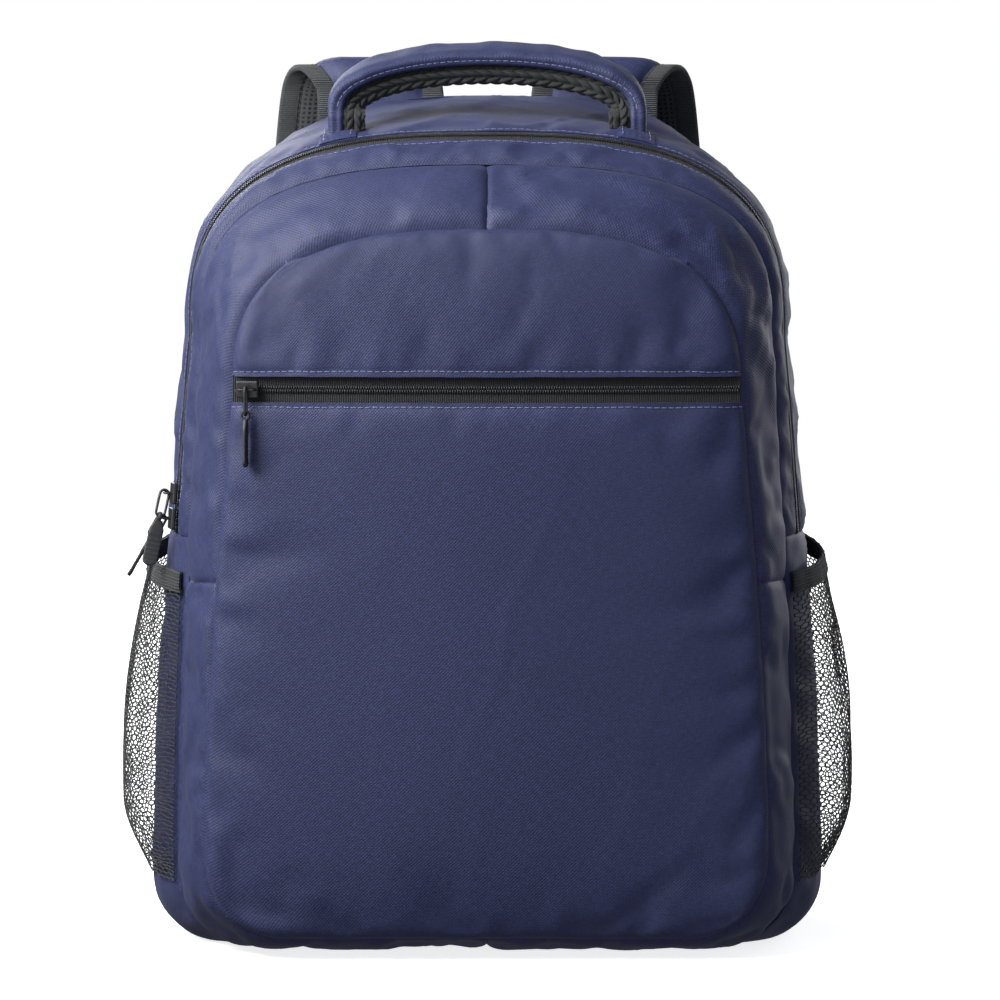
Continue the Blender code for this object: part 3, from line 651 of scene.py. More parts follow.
def yarn(name, dark, light, roughness, scale, sheen=0.15):
    """Thread, net strand or plaited cord: a twisted grain that follows no UVs."""
    look = Look(name, roughness, sheen, specular=0.4)
    grain = look.noise(look.place, scale, 3.0, 0.7)
    patches = look.noise(look.place, scale * 0.06, 2.0)
    look.paint(look.plus(look.times(grain, 0.7), look.times(patches, 0.3)), (0.3, dark), (0.7, light))
    look.bump(grain, 0.00015)


def air_mesh(name, dark, light, pitch=0.0030):
    """Spacer mesh: rows of small round holes in a soft knit."""
    look = Look(name, 0.9, 0.25, specular=0.25)
    place = look.stretched(look.uv, (1 / pitch, 1 / (pitch * 0.86), 1))
    cells = look.add("TexVoronoi", Vector=place, Randomness=0.12, Scale=1.0).outputs["Distance"]
    hole = look.calc("LESS_THAN", cells, 0.26)
    soft = look.calc("MULTIPLY", cells, 2.2, clamp=True)
    grain = look.noise(look.place, 1400.0, 2.0)
    mix = look.plus(look.times(grain, 0.5), look.times(soft, 0.5))
    look.paint(look.calc("SUBTRACT", mix, look.times(hole, 0.5), clamp=True), (0.1, dark), (0.85, light))
    look.bump(look.plus(soft, look.times(grain, 0.25)), 0.0006)


def hard(name, dark, light, roughness, metallic, wear, scale=500.0):
    """Moulded plastic, rubber or painted metal: fine grain, and lighter rubbed edges."""
    look = Look(name, roughness, metallic=metallic)
    grain = look.noise(look.place, scale, 3.0, 0.6)
    scuff = look.noise(look.place, scale * 0.18, 4.0, 0.7)
    edge = look.calc("SUBTRACT", look.add("NewGeometry").outputs["Pointiness"], 0.52, clamp=True)
    rub = look.times(look.calc("MULTIPLY", edge, 6.0, clamp=True), scuff)
    blend = look.add("Mix")
    blend.data_type = "RGBA"
    look.plug(rub, blend.inputs[0])
    look.plug(look.ramp(grain, ((0.3, dark), (0.7, light))), blend.inputs[6])
    look.plug((*wear, 1), blend.inputs[7])
    look.plug(blend.outputs[2], look.shader.inputs["Base Color"])
    look.plug(look.calc("MULTIPLY_ADD", scuff, 0.25, roughness - 0.12), look.shader.inputs["Roughness"])
    look.bump(grain, 0.00006, 0.5)


def make_looks():
    woven("navy_fabric", (0.0090, 0.0140, 0.0560), (0.0145, 0.0210, 0.0820), (0.0260, 0.0340, 0.1150), 0.62, 0.05,
          0.55)
    woven("lining", (0.020, 0.022, 0.040), (0.030, 0.033, 0.060), (0.045, 0.050, 0.085), 0.55, 0.1, 0.4, 0.0006,
          0.00006, 0.7)
    ribbed("zip_tape", (0.008, 0.009, 0.010), (0.030, 0.033, 0.034), 0.7, 0.0009)
    ribbed("webbing", (0.010, 0.011, 0.012), (0.040, 0.043, 0.046), 0.75, 0.0012, 1)
    ribbed("binding", (0.018, 0.020, 0.022), (0.085, 0.092, 0.095), 0.75, 0.0011, 1)
    ribbed("elastic", (0.014, 0.015, 0.018), (0.060, 0.063, 0.068), 0.8, 0.0016, 1, 0.00035)
    yarn("stitch_thread", (0.12, 0.13, 0.24), (0.27, 0.28, 0.44), 0.6, 2500.0)
    yarn("dark_thread", (0.010, 0.011, 0.013), (0.035, 0.037, 0.042), 0.7, 2500.0)
    yarn("net", (0.008, 0.009, 0.010), (0.030, 0.032, 0.034), 0.75, 2500.0)
    yarn("plait", (0.005, 0.006, 0.006), (0.028, 0.031, 0.030), 0.8, 1500.0, 0.1)
    air_mesh("air_mesh", (0.004, 0.004, 0.005), (0.035, 0.037, 0.040))
    hard("zip_teeth", (0.012, 0.013, 0.014), (0.024, 0.026, 0.027), 0.42, 0.0, (0.08, 0.08, 0.08))
    hard("slider_metal", (0.020, 0.020, 0.022), (0.035, 0.035, 0.038), 0.35, 0.6, (0.40, 0.40, 0.41))
    hard("wire_metal", (0.030, 0.030, 0.032), (0.060, 0.060, 0.063), 0.42, 0.5, (0.35, 0.35, 0.35))
    hard("puller_rubber", (0.022, 0.024, 0.025), (0.034, 0.037, 0.038), 0.55, 0.0, (0.08, 0.085, 0.09))
    hard("buckle_plastic", (0.010, 0.010, 0.011), (0.018, 0.018, 0.020), 0.40, 0.0, (0.06, 0.06, 0.06))


make_looks()


# Fabric skins of the body

SKINS = {}


def skin(name, surface, u, v, relief, cloth, looks=("navy_fabric", "lining"), slot="navy_fabric", towards=None,
         thick=CLOTH):
    """A sewn skin: simulated cloth over a surface, then its relief (folds, gathers and seams) pushed outwards."""
    points = draped(surface, u, v, towards=towards, **cloth)
    gu, gv = np.meshgrid(u, v)
    sign = facing(points, towards)
    points = points + grid_normals(points) * (relief(gu, gv, points) * sign)[..., None]
    SKINS[name] = (v, points, grid_normals(points) * sign)
    return sheet_mesh(name, *turned_out(points, np.stack([gu, gv], axis=-1), sign), looks, slot, thick)


def stitches_on(name, cloth, depth):
    """A row of stitches along a finished skin, at one depth of its grid. Below 0, it counts from the far edge."""
    v, points, normals = SKINS[cloth]
    place = float(np.interp(depth if depth > 0 else v[-1] + depth, v, np.arange(len(v))))
    low = min(int(place), len(v) - 2)
    line = points[low] + (points[low + 1] - points[low]) * (place - low)
    out = normals[low] + (normals[low + 1] - normals[low]) * (place - low)
    return stitch_row(name, (line + out * 0.00016)[1:-1], out[1:-1], "stitch_thread", "navy_fabric")


def bend(obj):
    """Bakes a skin's transform into its mesh; nothing here attaches it to the tilting front half."""
    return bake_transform(obj)


def run_table(y):
    """Distances round the half outline at depth y, for evenly spaced shares."""
    shares = np.linspace(0, 1, 500)
    return shares, outline_points(y, shares, 1)[2]


def ring_surface(y_from, run_to_share, run_sign):
    """A surface round the body. Columns are distances round it and rows are depths behind y_from."""

    def surface(u, v):
        share, sign = run_to_share(u), run_sign(u)
        rows = []
        for y in y_from + np.asarray(v):
            x, z, _ = outline_points(y, share, sign)
            rows.append(np.stack([x, np.full_like(x, y), z], axis=-1))
        return np.array(rows)

    return surface


def pocket_gusset(side, word):
    """The strip between the front panel and the body, on one side, from the base's middle to the top's."""
    front, rear, middle = FRONT_Y + 0.0012, POCKET_Y - 0.0002, -0.060
    shares, runs = run_table(middle)
    length, deep = runs[-1], rear - front
    x, z = half_curve(middle)
    seam = np.interp(GUSSET_SEAM_Z, z[1:], run_of(x, z)[1:])
    u, v = spread(length, 0.0028, (0.0, seam, length)), spread(deep, 0.0024, (0.0, deep))
    surface = ring_surface(front, lambda a: np.interp(a, runs, shares), lambda a: side)

    def relief(gu, gv, points):
        high = np.clip((points[..., 2] - 0.30) / 0.06, 0, 1)
        folds = creases(gu, gv, 31 + side, 0.0014, 0.050, 0.014, 0.45) * (0.35 + 0.65 * high)
        away = 0.0018 * np.sin(np.pi * gv / deep) ** 0.8 + folds * inside_of(0.008, gv, deep - gv)
        away += puckers(gu, gv, 40 + side) + puckers(gu, deep - gv, 44 + side, 0.0005)
        away += puckers(gv, np.abs(gu - seam), 48 + side, 0.0005, 0.008, 0.007)
        away += groove(gv) + groove(deep - gv, 0.0020, 0.0026)
        return away + end_seams(gu, length, 0.0014) + groove(gu - seam, 0.0014, 0.0016)

    obj = skin(f"gusset_cloth_{word}", surface, u, v, relief,
               dict(cell=0.0080, pressure=1.0, grow=0.014, cap=0.0020, seed=20 + side))
    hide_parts(f"pocket_gusset_lower_{word}", f"pocket_gusset_upper_{word}")
    return bend(obj)


def over_top(y):
    """Length, shares and signs of a strip over the top, from the hinge's height on the left to the right."""
    shares, runs = run_table(y)
    half = runs[-1] - np.interp(CUT, shares, runs)
    return (2 * half, lambda a: np.interp(runs[-1] - np.abs(a - half), runs, shares),
            lambda a: np.where(a < half, -1.0, 1.0))


def under_base(y):
    """The same for a strip under the base."""
    shares, runs = run_table(y)
    half = np.interp(CUT, shares, runs)
    return 2 * half, lambda a: np.interp(np.abs(a - half), runs, shares), lambda a: np.where(a < half, -1.0, 1.0)


def front_band_cloth():
    """The strip between the front pocket's gusset and the main zip."""
    front, rear = POCKET_Y + 0.0002, -0.0252
    length, to_share, sign = over_top(-0.033)
    deep = rear - front
    u, v = spread(length, 0.0028, (0.0, length)), spread(deep, 0.0020, (0.0, deep))

    def relief(gu, gv, points):
        away = 0.0008 * np.sin(np.pi * gv / deep)
        away += creases(gu, gv, 61, 0.0011, 0.040, 0.011, 0.6) * inside_of(0.006, gv, deep - gv)
        away += puckers(gu, gv, 62, 0.0007) + puckers(gu, deep - gv, 63, 0.0004, 0.006, 0.006)
        away += groove(gv, 0.0020, 0.0026) + groove(deep - gv - ZIP_STITCH, 0.00045, 0.0012)
        return away + end_seams(gu, length)

    obj = skin("band_cloth", ring_surface(front, to_share, sign), u, v, relief,
               dict(cell=0.0042, pressure=0.8, grow=0.015, cap=0.0012, seed=60))
    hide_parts("front_band")
    return bend(obj)


def main_gusset_cloth():
    """The broad strip behind the main zip, over the top of the body."""
    front, rear = -0.0148, BACK_Y - 0.0012
    length, to_share, sign = over_top(0.034)
    deep = rear - front
    u, v = spread(length, 0.0032, (0.0, length)), spread(deep, 0.0030, (0.0, deep))

    def relief(gu, gv, points):
        inside = inside_of(0.012, gv, deep - gv)
        away = creases(gu, gv, 71, 0.0014, 0.085, 0.026, 0.9) * inside
        away += creases(gu, gv, 74, 0.0008, 0.050, 0.018, -0.7) * inside
        away += puckers(gu, gv, 72, 0.0005, 0.007, 0.007) + puckers(gu, deep - gv, 73, 0.0010)
        away += groove(gv - ZIP_STITCH, 0.00045, 0.0012) + groove(deep - gv, 0.0016, 0.0026)
        return away + end_seams(gu, length)

    obj = skin("main_gusset_cloth", ring_surface(front, to_share, sign), u, v, relief,
               dict(cell=0.0085, pressure=0.8, grow=0.015, cap=0.0022, seed=70))
    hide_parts("main_gusset")
    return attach(obj, "root")


def side_and_base_cloth():
    """Both side panels and the base, in one strip under the body."""
    front, rear = POCKET_Y + 0.0002, BACK_Y - 0.0012
    length, to_share, sign = under_base(0.02)
    deep = rear - front
    u, v = spread(length, 0.0034, (0.0, length)), spread(deep, 0.0032, (0.0, deep))

    def relief(gu, gv, points):
        on_base = np.clip((0.035 - points[..., 2]) / 0.02, 0, 1)
        away = creases(gu, gv, 81, 0.0010, 0.070, 0.022, 0.6) * inside_of(0.012, gv, deep - gv)
        away += puckers(gu, gv, 82, 0.0008) + puckers(gu, deep - gv, 83, 0.0010)
        away += groove(gv, 0.0020, 0.0026) + groove(deep - gv, 0.0016, 0.0026) + end_seams(gu, length)
        away = np.where(points[..., 2] < 0.012, np.minimum(away, 0.0), away)
        return away * (1 - 0.6 * on_base)

    obj = skin("side_base_cloth", ring_surface(front, to_share, sign), u, v, relief,
               dict(cell=0.0085, pressure=0.5, grow=0.010, cap=0.0014, seed=80, floor=True))
    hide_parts("side_panel_left", "side_panel_right", "base_panel")
    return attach(obj, "root")


# Flat panels across the body

def panel_sides(y, low_z=None, high_z=None):
    """The four edges of a panel at depth y, as functions of a share 0 to 1: bottom, top, left and right.
    low_z or high_z cuts it off straight; uncut, its corners lie half-way round the outline's corners."""
    x, z = half_curve(y)
    run = run_of(x, z)
    s = station(y)
    corner_low = s["low"] + s["corner"] * (1 - math.cos(math.pi / 4))
    corner_high = s["shoulder_z"] + (s["top"] - s["shoulder_z"]) * math.sin(math.pi / 4) ** (2 / s["power"])
    from_run = np.interp(corner_low if low_z is None else low_z, z[1:], run[1:])
    to_run = np.interp(corner_high if high_z is None else high_z, z[1:], run[1:])

    def at(place):
        return np.stack([np.interp(place, run, x), np.interp(place, run, z)], axis=-1)

    def side(sign):
        return lambda t: at(from_run + (to_run - from_run) * t) * (sign, 1)

    def end(edge_run, cut, whole):
        def whole_end(t):
            place = edge_run + (whole - edge_run) * (1 - np.abs(2 * t - 1))
            return at(place) * np.stack([np.where(t < 0.5, -1.0, 1.0), np.ones_like(t)], axis=-1)

        def cut_end(t):
            return np.stack([at(edge_run)[0] * (2 * t - 1), np.full_like(t, cut)], axis=-1)

        return whole_end if cut is None else cut_end

    return end(from_run, low_z, 0.0), end(to_run, high_z, run[-1]), side(-1.0), side(1.0)


def panel_surface(y, low_z, high_z, size, depth_of, inset=0.0):
    """A panel filled in between its four edges. size is its nominal width and height, which u and v run over."""
    bottom, top, left, right = panel_sides(y, low_z, high_z)
    centre = np.array([0.0, 0.19])

    def surface(u, v):
        s, t = (u / size[0])[None, :, None], (v / size[1])[:, None, None]
        b, h = bottom(s[0, :, 0])[None], top(s[0, :, 0])[None]
        w, e = left(t[:, 0, 0])[:, None], right(t[:, 0, 0])[:, None]
        low_corners, high_corners = (1 - s) * b[:, :1] + s * b[:, -1:], (1 - s) * h[:, :1] + s * h[:, -1:]
        flat = (1 - t) * (b - low_corners) + t * (h - high_corners) + (1 - s) * w + s * e
        x, z = np.moveaxis(centre + (flat - centre) * (1 - inset), -1, 0)
        return np.stack([x, depth_of(x, z), z], axis=-1)

    return surface


def front_panel(name, low_z, high_z, cloth, zip_at, seeds):
    """The front panel below or above its zip. Its seam sinks, and stitches run beside the zip."""
    width = 0.276
    s = station(FRONT_Y)
    height = (s["top"] if high_z is None else high_z) - (s["low"] if low_z is None else low_z)
    u, v = spread(width, 0.0028, (0.0, width)), spread(height, 0.0028, (0.0, height))

    def relief(gu, gv, points):
        x, z = points[..., 0], points[..., 2]
        from_zip, from_far = (height - gv, gv) if zip_at == "top" else (gv, height - gv)
        rim = np.minimum.reduce([gu, width - gu, from_far])
        inside = inside_of(0.02, rim, from_zip)
        away = 0.0016 * (1 - np.exp(-rim / 0.012))
        away += lattice_noise(x / 0.075, z / 0.11, seeds) * 0.0006 * inside
        away += creases(x, z, seeds + 1, 0.00025, 0.16, 0.040, 1.1) * inside
        away += puckers(gv, gu, seeds + 2, 0.0008, 0.011, 0.014)
        away += puckers(gv, width - gu, seeds + 3, 0.0008, 0.011, 0.014)
        away += puckers(gu, from_far, seeds + 4, 0.0008, 0.013, 0.014)
        away += puckers(gu, from_zip, seeds + 5, 0.0004, 0.006, 0.005)
        away += groove(gu, 0.0022) + groove(width - gu, 0.0022) + groove(from_far, 0.0022)
        return away + groove(from_zip - FRONT_ZIP_STITCH, 0.0004, 0.0011)

    surface = panel_surface(FRONT_Y, low_z, high_z, (width, height), front_depth)
    return skin(name, surface, u, v, relief, cloth, towards=(0, -1, 0))


def front_panels():
    lower = front_panel("front_cloth_lower", None, FRONT_ZIP_LOW_Z - 0.0002,
                        dict(cell=0.0085, pressure=0.5, grow=0.008, cap=0.0022, seed=90), "top", 91)
    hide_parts("front_panel_lower", "front_panel_middle", "pocket_fold")
    bend(lower)
    upper = front_panel("front_cloth_upper", FRONT_ZIP_HIGH_Z + 0.0002, None,
                        dict(cell=0.0070, pressure=0.5, grow=0.009, cap=0.0016, seed=95), "bottom", 96)
    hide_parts("front_panel_upper")
    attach(upper, "front_half")


def inner_panels():
    """The wall behind the front pocket, and the back panel."""
    width, height = 0.31, 0.40

    def soft(gu, gv, points):
        folds = creases(gu, gv, 111, 0.0018, 0.12, 0.035, 0.8)
        return folds * inside_of(0.02, gu, width - gu, gv, height - gv)

    def sewn(gu, gv, points):
        rim = np.minimum.reduce([gu, width - gu, gv, height - gv])
        away = soft(gu, gv, points) * 0.35 - 0.0008 * np.exp(-rim / 0.003)
        return away + puckers(gv, gu, 113, 0.0007) + puckers(gv, width - gu, 114, 0.0007)

    def panel(y, inset=0.0):
        return panel_surface(y, None, None, (width, height), lambda x, z: np.full_like(x, y), inset)

    wall = skin("pocket_lining", panel(POCKET_Y + 0.0010, 0.016), spread(width, 0.006), spread(height, 0.006), soft,
                dict(cell=0.012, pressure=0.0, grow=0.01, cap=0.003, seed=110), ("lining",), "lining", (0, -1, 0))
    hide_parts("pocket_wall_lower", "pocket_wall_upper")
    bend(wall)
    u, v = spread(width, 0.004, (0.0, width)), spread(height, 0.004, (0.0, height))
    back = skin("back_cloth", panel(BACK_Y), u, v, sewn,
                dict(cell=0.010, pressure=0.2, grow=0.008, cap=0.0010, seed=112), towards=(0, 1, 0))
    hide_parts("back_panel")
    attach(back, "root")


# Zips

def tape_strip(name, surface, u, v):
    """A zip tape half or a seam tape: a thin woven strip."""
    points = surface(u, v)
    uv = np.stack(np.meshgrid(u, v), axis=-1)
    return sheet_mesh(name, *turned_out(points, uv, facing(points)), ["zip_tape"], "zip_tape", TAPE_THICK)


def sunk(surface, depth):
    """The same surface, moved inwards."""

    def lowered(u, v):
        points = surface(u, v)
        return points - grid_normals(points) * depth * facing(points)

    return lowered


def tooth_rows(name, points, normals, across, shift):
    """The zip teeth on one side of the middle line. shift staggers them along it."""
    centre, along, normal = along_line(points, normals, TOOTH_PITCH)
    side = unit(np.cross(normal, along))
    side *= np.sign(side @ np.array(across))[:, None]
    centre = centre + unit(along) * shift + side * TOOTH_OFFSET
    return rods(name, centre, side, normal, TOOTH_LONG, TOOTH_R, "zip_teeth", "zip_tape", 0.9)


def seam_tapes():
    """Woven tape over the seam allowances inside the body: at the front panel, the inner wall and the back panel."""
    places = (("front", FRONT_Y + 0.0006, FRONT_Y + 0.0095), ("wall", POCKET_Y - 0.0050, POCKET_Y + 0.0050),
              ("back", BACK_Y - 0.0100, BACK_Y - 0.0004))
    for seam, front, rear in places:
        shares, runs = run_table((front + rear) / 2)
        u, v = spread(runs[-1], 0.003), np.linspace(0, rear - front, 4)
        for side, word in SIDES:
            ring = ring_surface(front, lambda a: np.interp(a, runs, shares), lambda a: side)
            tape = tape_strip(f"seam_tape_{seam}_{word}", sunk(ring, SEAM_TAPE_INSET), u, v)
            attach(tape, "root") if seam == "back" else bend(tape)


def main_zip():
    """The zip over the top: two woven tapes, two rows of teeth, and stitches beside them."""
    length, to_share, sign = over_top(ZIP_Y)
    for name, front, rear in (("front", -0.0256, -0.0201), ("rear", -0.0199, -0.0144)):
        surface = sunk(ring_surface(front, to_share, sign), TAPE_INSET)
        tape = tape_strip(f"main_zip_tape_{name}", surface, spread(length, 0.003), np.linspace(0, rear - front, 5))
        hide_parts(f"main_zip_{name}_half")
        bend(tape) if name == "front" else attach(tape, "root")

    u = np.linspace(0.0005, length - 0.0005, 700)
    ring = sunk(ring_surface(ZIP_Y - 0.0004, to_share, sign), TAPE_INSET - 0.0004)
    line = ring(u, np.array([0.0, 0.0004, 0.0008]))
    normals = grid_normals(line)[1] * facing(line)
    bend(tooth_rows("main_zip_teeth_front", line[1], normals, (0, -1, 0), 0.0))
    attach(tooth_rows("main_zip_teeth_rear", line[1], normals, (0, 1, 0), TOOTH_PITCH / 2), "root")
    bend(stitches_on("main_zip_stitches_front", "band_cloth", -ZIP_STITCH))
    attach(stitches_on("main_zip_stitches_rear", "main_gusset_cloth", ZIP_STITCH), "root")


def front_zip():
    """The zip across the front panel."""
    middle = (FRONT_ZIP_LOW_Z + FRONT_ZIP_HIGH_Z) / 2
    half = half_width(FRONT_Y, middle) - 0.0008
    high = (FRONT_ZIP_HIGH_Z - FRONT_ZIP_LOW_Z) / 2 + 0.0006

    def line(x, z, inset=TAPE_INSET):
        z = np.full_like(x, z)
        return np.stack([x, front_depth(x, z) + inset, z], axis=-1)

    x, fine = np.linspace(-half, half, 120), np.linspace(-half + 0.001, half - 0.001, 500)
    normals = np.tile((0.0, -1.0, 0.0), (len(fine), 1))
    for word, way, shift in (("lower", -1, 0.0), ("upper", 1, TOOTH_PITCH / 2)):
        rows = np.linspace(*sorted((middle + way * high, middle + way * 0.0001)), 6)
        uv = np.stack(np.meshgrid(x + half, rows), axis=-1)
        tape = sheet_mesh(f"front_zip_tape_{word}", np.array([line(x, z) for z in rows]), uv, ["zip_tape"],
                          "zip_tape", TAPE_THICK)
        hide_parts(f"front_zip_{word}_half")
        stitches = stitches_on(f"front_zip_stitches_{word}", f"front_cloth_{word}", way * FRONT_ZIP_STITCH)
        teeth = tooth_rows(f"front_zip_teeth_{word}", line(fine, middle, TAPE_INSET - 0.0004), normals, (0, 0, way),
                           shift)
        for obj in (tape, teeth, stitches):
            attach(obj, "front_half")


# Net pockets

def pocket_place(side, u, v, outset, drop_from=None, drop_to=0.0):
    """Points of a net pocket's outer face: u from front to back, v from low to high between two drops below the
    mouth; without drop_from, from the pocket's foot."""
    y = POCKET_FRONT_Y + (POCKET_BACK_Y - POCKET_FRONT_Y) * u
    mouth = POCKET_HIGH_FRONT_Z + (POCKET_HIGH_BACK_Z - POCKET_HIGH_FRONT_Z) * u
    low = POCKET_LOW_Z if drop_from is None else mouth - drop_from
    z = low + (mouth - drop_to - low) * v
    drop = (mouth - z) / (mouth - POCKET_LOW_Z)
    belly = MOUTH_BULGE + (NET_BULGE - MOUTH_BULGE) * np.sin(np.pi * np.minimum(drop, 1) * 0.85)
    foot = np.minimum((1 - drop) / 0.22, 1)
    swell = belly * np.sin(np.pi * np.clip(u, 0, 1)) ** 0.75 * np.sin(np.pi / 2 * foot)
    return np.stack([side * (half_widths(y, z) + outset + swell), y, z], axis=-1)


def strands(name, joints, pairs, normals):
    """Net strands: four-sided cords between joints, in one mesh."""
    a, b = joints[pairs[:, 0]], joints[pairs[:, 1]]
    along = unit(b - a)
    side = unit(np.cross(along, normals[pairs[:, 0]]))
    out = np.cross(side, along)
    past = along * STRAND_R * 0.8
    rings = []
    for place, size in ((a - past, 1.25), ((a + b) / 2, 0.9), (b + past, 1.25)):
        for turn in np.pi * np.array((0.25, 0.75, 1.25, 1.75)):
            rings.append(place + (side * math.cos(turn) + out * math.sin(turn)) * STRAND_R * size)
    return tubes(name, rings, 4, "net", 75)


def net_pocket(side, word):
    """A knotless hexagonal net, a bit uneven, gathered under its elastic mouth."""
    deep, high = 0.128, 0.160
    columns, rows = int(deep / (NET_CELL * 0.95)), int(high / (NET_CELL * 0.75))
    index, joints, pairs = {}, [], []
    for j in range(rows + 1):
        for i in range(columns + 1):
            zig = 1 if (i + j) % 2 else -1
            index[i, j] = len(joints)
            joints.append((i / columns, (j + 0.5 + zig * 0.17) / (rows + 1)))
    for (i, j), here in index.items():
        if i < columns:
            pairs.append((here, index[i + 1, j]))
        if j < rows and (i + j) % 2:
            pairs.append((here, index[i, j + 1]))
    u, v = np.array(joints).T
    loose = inside_of(0.04, u, 1 - u, v, 1 - v)

    def drift(fine, broad, seed):
        return loose * (lattice_noise(u * 38, v * 44, seed) * fine + lattice_noise(u * 7, v * 9, seed + 2) * broad)

    u = u + drift(0.0055, 0.014, 201 + side)
    v = v + drift(0.0050, 0.012, 205 + side)
    u, v = np.clip(u, 0.002, 0.998), np.clip(v, 0.0, 1.0)

    def at(du=0.0, dv=0.0):
        return pocket_place(side, np.clip(u + du, 0, 1), np.clip(v + dv, 0, 1), 0.0016, None, ELASTIC_HIGH - 0.0010)

    normals = unit(np.cross(at(0.01) - at(-0.01), at(0, 0.01) - at(0, -0.01)) * side)
    tuck = lattice_noise(u * 9, v * 3, 209 + side) * 0.0016 * np.sin(np.pi * u) * np.clip((1 - v) / 0.1, 0.3, 1)
    net = strands(f"net_{word}", at() + normals * tuck[:, None], np.array(pairs), normals)
    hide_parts(f"mesh_pocket_{word}")
    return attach(net, "root")


def pocket_mouth(side, word):
    """The ribbed elastic along a net pocket's mouth, slightly gathered, with two rows of stitches."""
    gu, gv = np.meshgrid(np.linspace(0, 1, 90), np.linspace(0, 1, 12))
    points = pocket_place(side, gu, gv, 0.0026, ELASTIC_HIGH)
    gather = np.sin(gu * 0.12 / 0.0062 * math.pi + lattice_noise(gu * 6, gv * 0, 220 + side)) * 0.00022
    roll = -0.0006 * (np.abs(gv * 2 - 1) ** 4)
    sign = facing(points, (side, 0, 0))
    points = points + grid_normals(points) * (gather + roll)[..., None] * sign
    points, uv = turned_out(points, np.stack([gu * 0.13, gv * ELASTIC_HIGH], axis=-1), sign)
    band = sheet_mesh(f"elastic_{word}", points, uv, ["elastic"], "elastic", 0.0014)
    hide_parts(f"pocket_elastic_{word}")
    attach(band, "root")
    for row in (2, 9):
        normals = grid_normals(points)[row]
        thread = stitch_row(f"elastic_stitches_{word}_{row}", points[row] + normals * 0.0002, normals, "dark_thread",
                            "elastic")
        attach(thread, "root")


# Swept soft parts

def smooth_path(points, steps):
    """A Catmull-Rom curve through the points."""
    pts = np.asarray(points, float)
    pts = np.vstack([2 * pts[0] - pts[1], pts, 2 * pts[-1] - pts[-2]])
    return cubic(pts, np.linspace(1, len(pts) - 2, (len(pts) - 3) * steps + 1), 0)


def swept(name, path, side_axis, section, looks, around=28, settle=None):
    """A closed form swept along a path. section(share, turns, run) gives sideways and upward offsets of its ring.
    Returns the object, its rings of points and its upward directions."""
    path = np.asarray(path, float)
    along = unit(np.gradient(path, axis=0))
    side = np.tile(unit(np.asarray(side_axis, float)), (len(path), 1))
    up = unit(np.cross(along - side * np.sum(along * side, axis=1)[:, None], side))
    run = run_of(*path.T)
    turns = np.linspace(0, 2 * math.pi, around, endpoint=False)
    share = np.linspace(0, 1, len(path))
    a, b = (np.broadcast_to(v, (len(path), around)) for v in section(share[:, None], turns[None, :], run[:, None]))
    ring = path[:, None] + side[:, None] * a[..., None] + up[:, None] * b[..., None]
    if settle:
        ring = settle(ring)
    index = np.arange(len(path) * around).reshape(len(path), around)
    after = np.roll(index, -1, axis=1)
    quads = np.stack([index[:-1], after[:-1], after[1:], index[1:]], axis=-1).reshape(-1, 4)
    mesh = bpy.data.meshes.new(name)
    caps = [index[0].tolist()[::-1], index[-1].tolist()]
    mesh.from_pydata(ring.reshape(-1, 3).tolist(), [], quads.tolist() + caps)
    set_uv(mesh, np.stack([a.ravel(), np.repeat(run, around)], axis=-1))
    shape = bmesh.new()
    shape.from_mesh(mesh)
    bmesh.ops.recalc_face_normals(shape, faces=shape.faces)
    shape.to_mesh(mesh)
    shape.free()
    obj = link(name, mesh, looks)
    mesh.set_sharp_from_angle(angle=math.radians(70))
    return obj, ring, up


def rounded(turns, half, thick, power=0.35):
    """A flat form with round edges: offsets of a superellipse ring."""
    c, s = np.cos(turns), np.sin(turns)
    return half * np.sign(c) * np.abs(c) ** power, thick / 2 * np.sign(s) * np.abs(s) ** (power + 0.25)


# Handle

def handle_line(count):
    """The middle of the grab handle: its arch, and a short foot down to the body at each end."""
    turn = np.linspace(0, math.pi, count)
    rise = np.sin(turn) ** 0.72
    rise[[0, -1]] = 0.0
    z = top_height(HANDLE_Y, HANDLE_HALF) + HANDLE_FOOT + HANDLE_RISE * rise
    arch = np.stack([-HANDLE_HALF * np.cos(turn), HANDLE_Y + HANDLE_LEAN * rise, z], axis=-1)
    down = np.linspace(HANDLE_FOOT - 0.0010, 0.0012, FOOT_STEPS)[:, None] * (0, 0, 1)
    return np.vstack([arch[0] - down, arch, (arch[-1] - down)[::-1]])


def handle_depth(share):
    return HANDLE_DEPTH * (0.36 + 0.64 * np.clip((np.minimum(share, 1 - share) - 0.05) / 0.16, 0, 1))


def cloth_height(x, y):
    """Height of the finished cloth on top of the body at one point."""
    cloth = SKINS["main_gusset_cloth"][1].reshape(-1, 3)
    away = (cloth[:, 0] - x) ** 2 + (cloth[:, 1] - y) ** 2 + np.where(cloth[:, 2] > 0.38, 0, 1)
    near = np.argsort(away)[:12]
    weight = np.exp(-away[near] / 0.0014 ** 2) + 1e-9
    return float(np.sum(cloth[near, 2] * weight) / np.sum(weight))


def on_body(ring):
    """Stands both ends of a part of the handle on the cloth of the body."""
    for order in (range(FOOT_STEPS), range(-1, -FOOT_STEPS - 1, -1)):
        drop = np.array([cloth_height(x, y) + 0.0004 - z for x, y, z in ring[order[0]]])
        for step, row in enumerate(order):
            ring[row, :, 2] += drop * (1 - step / FOOT_STEPS)
    return ring


def bend_handle(obj):
    """Bakes a handle part's transform into its mesh; nothing here attaches it to a swinging body."""
    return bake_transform(obj)


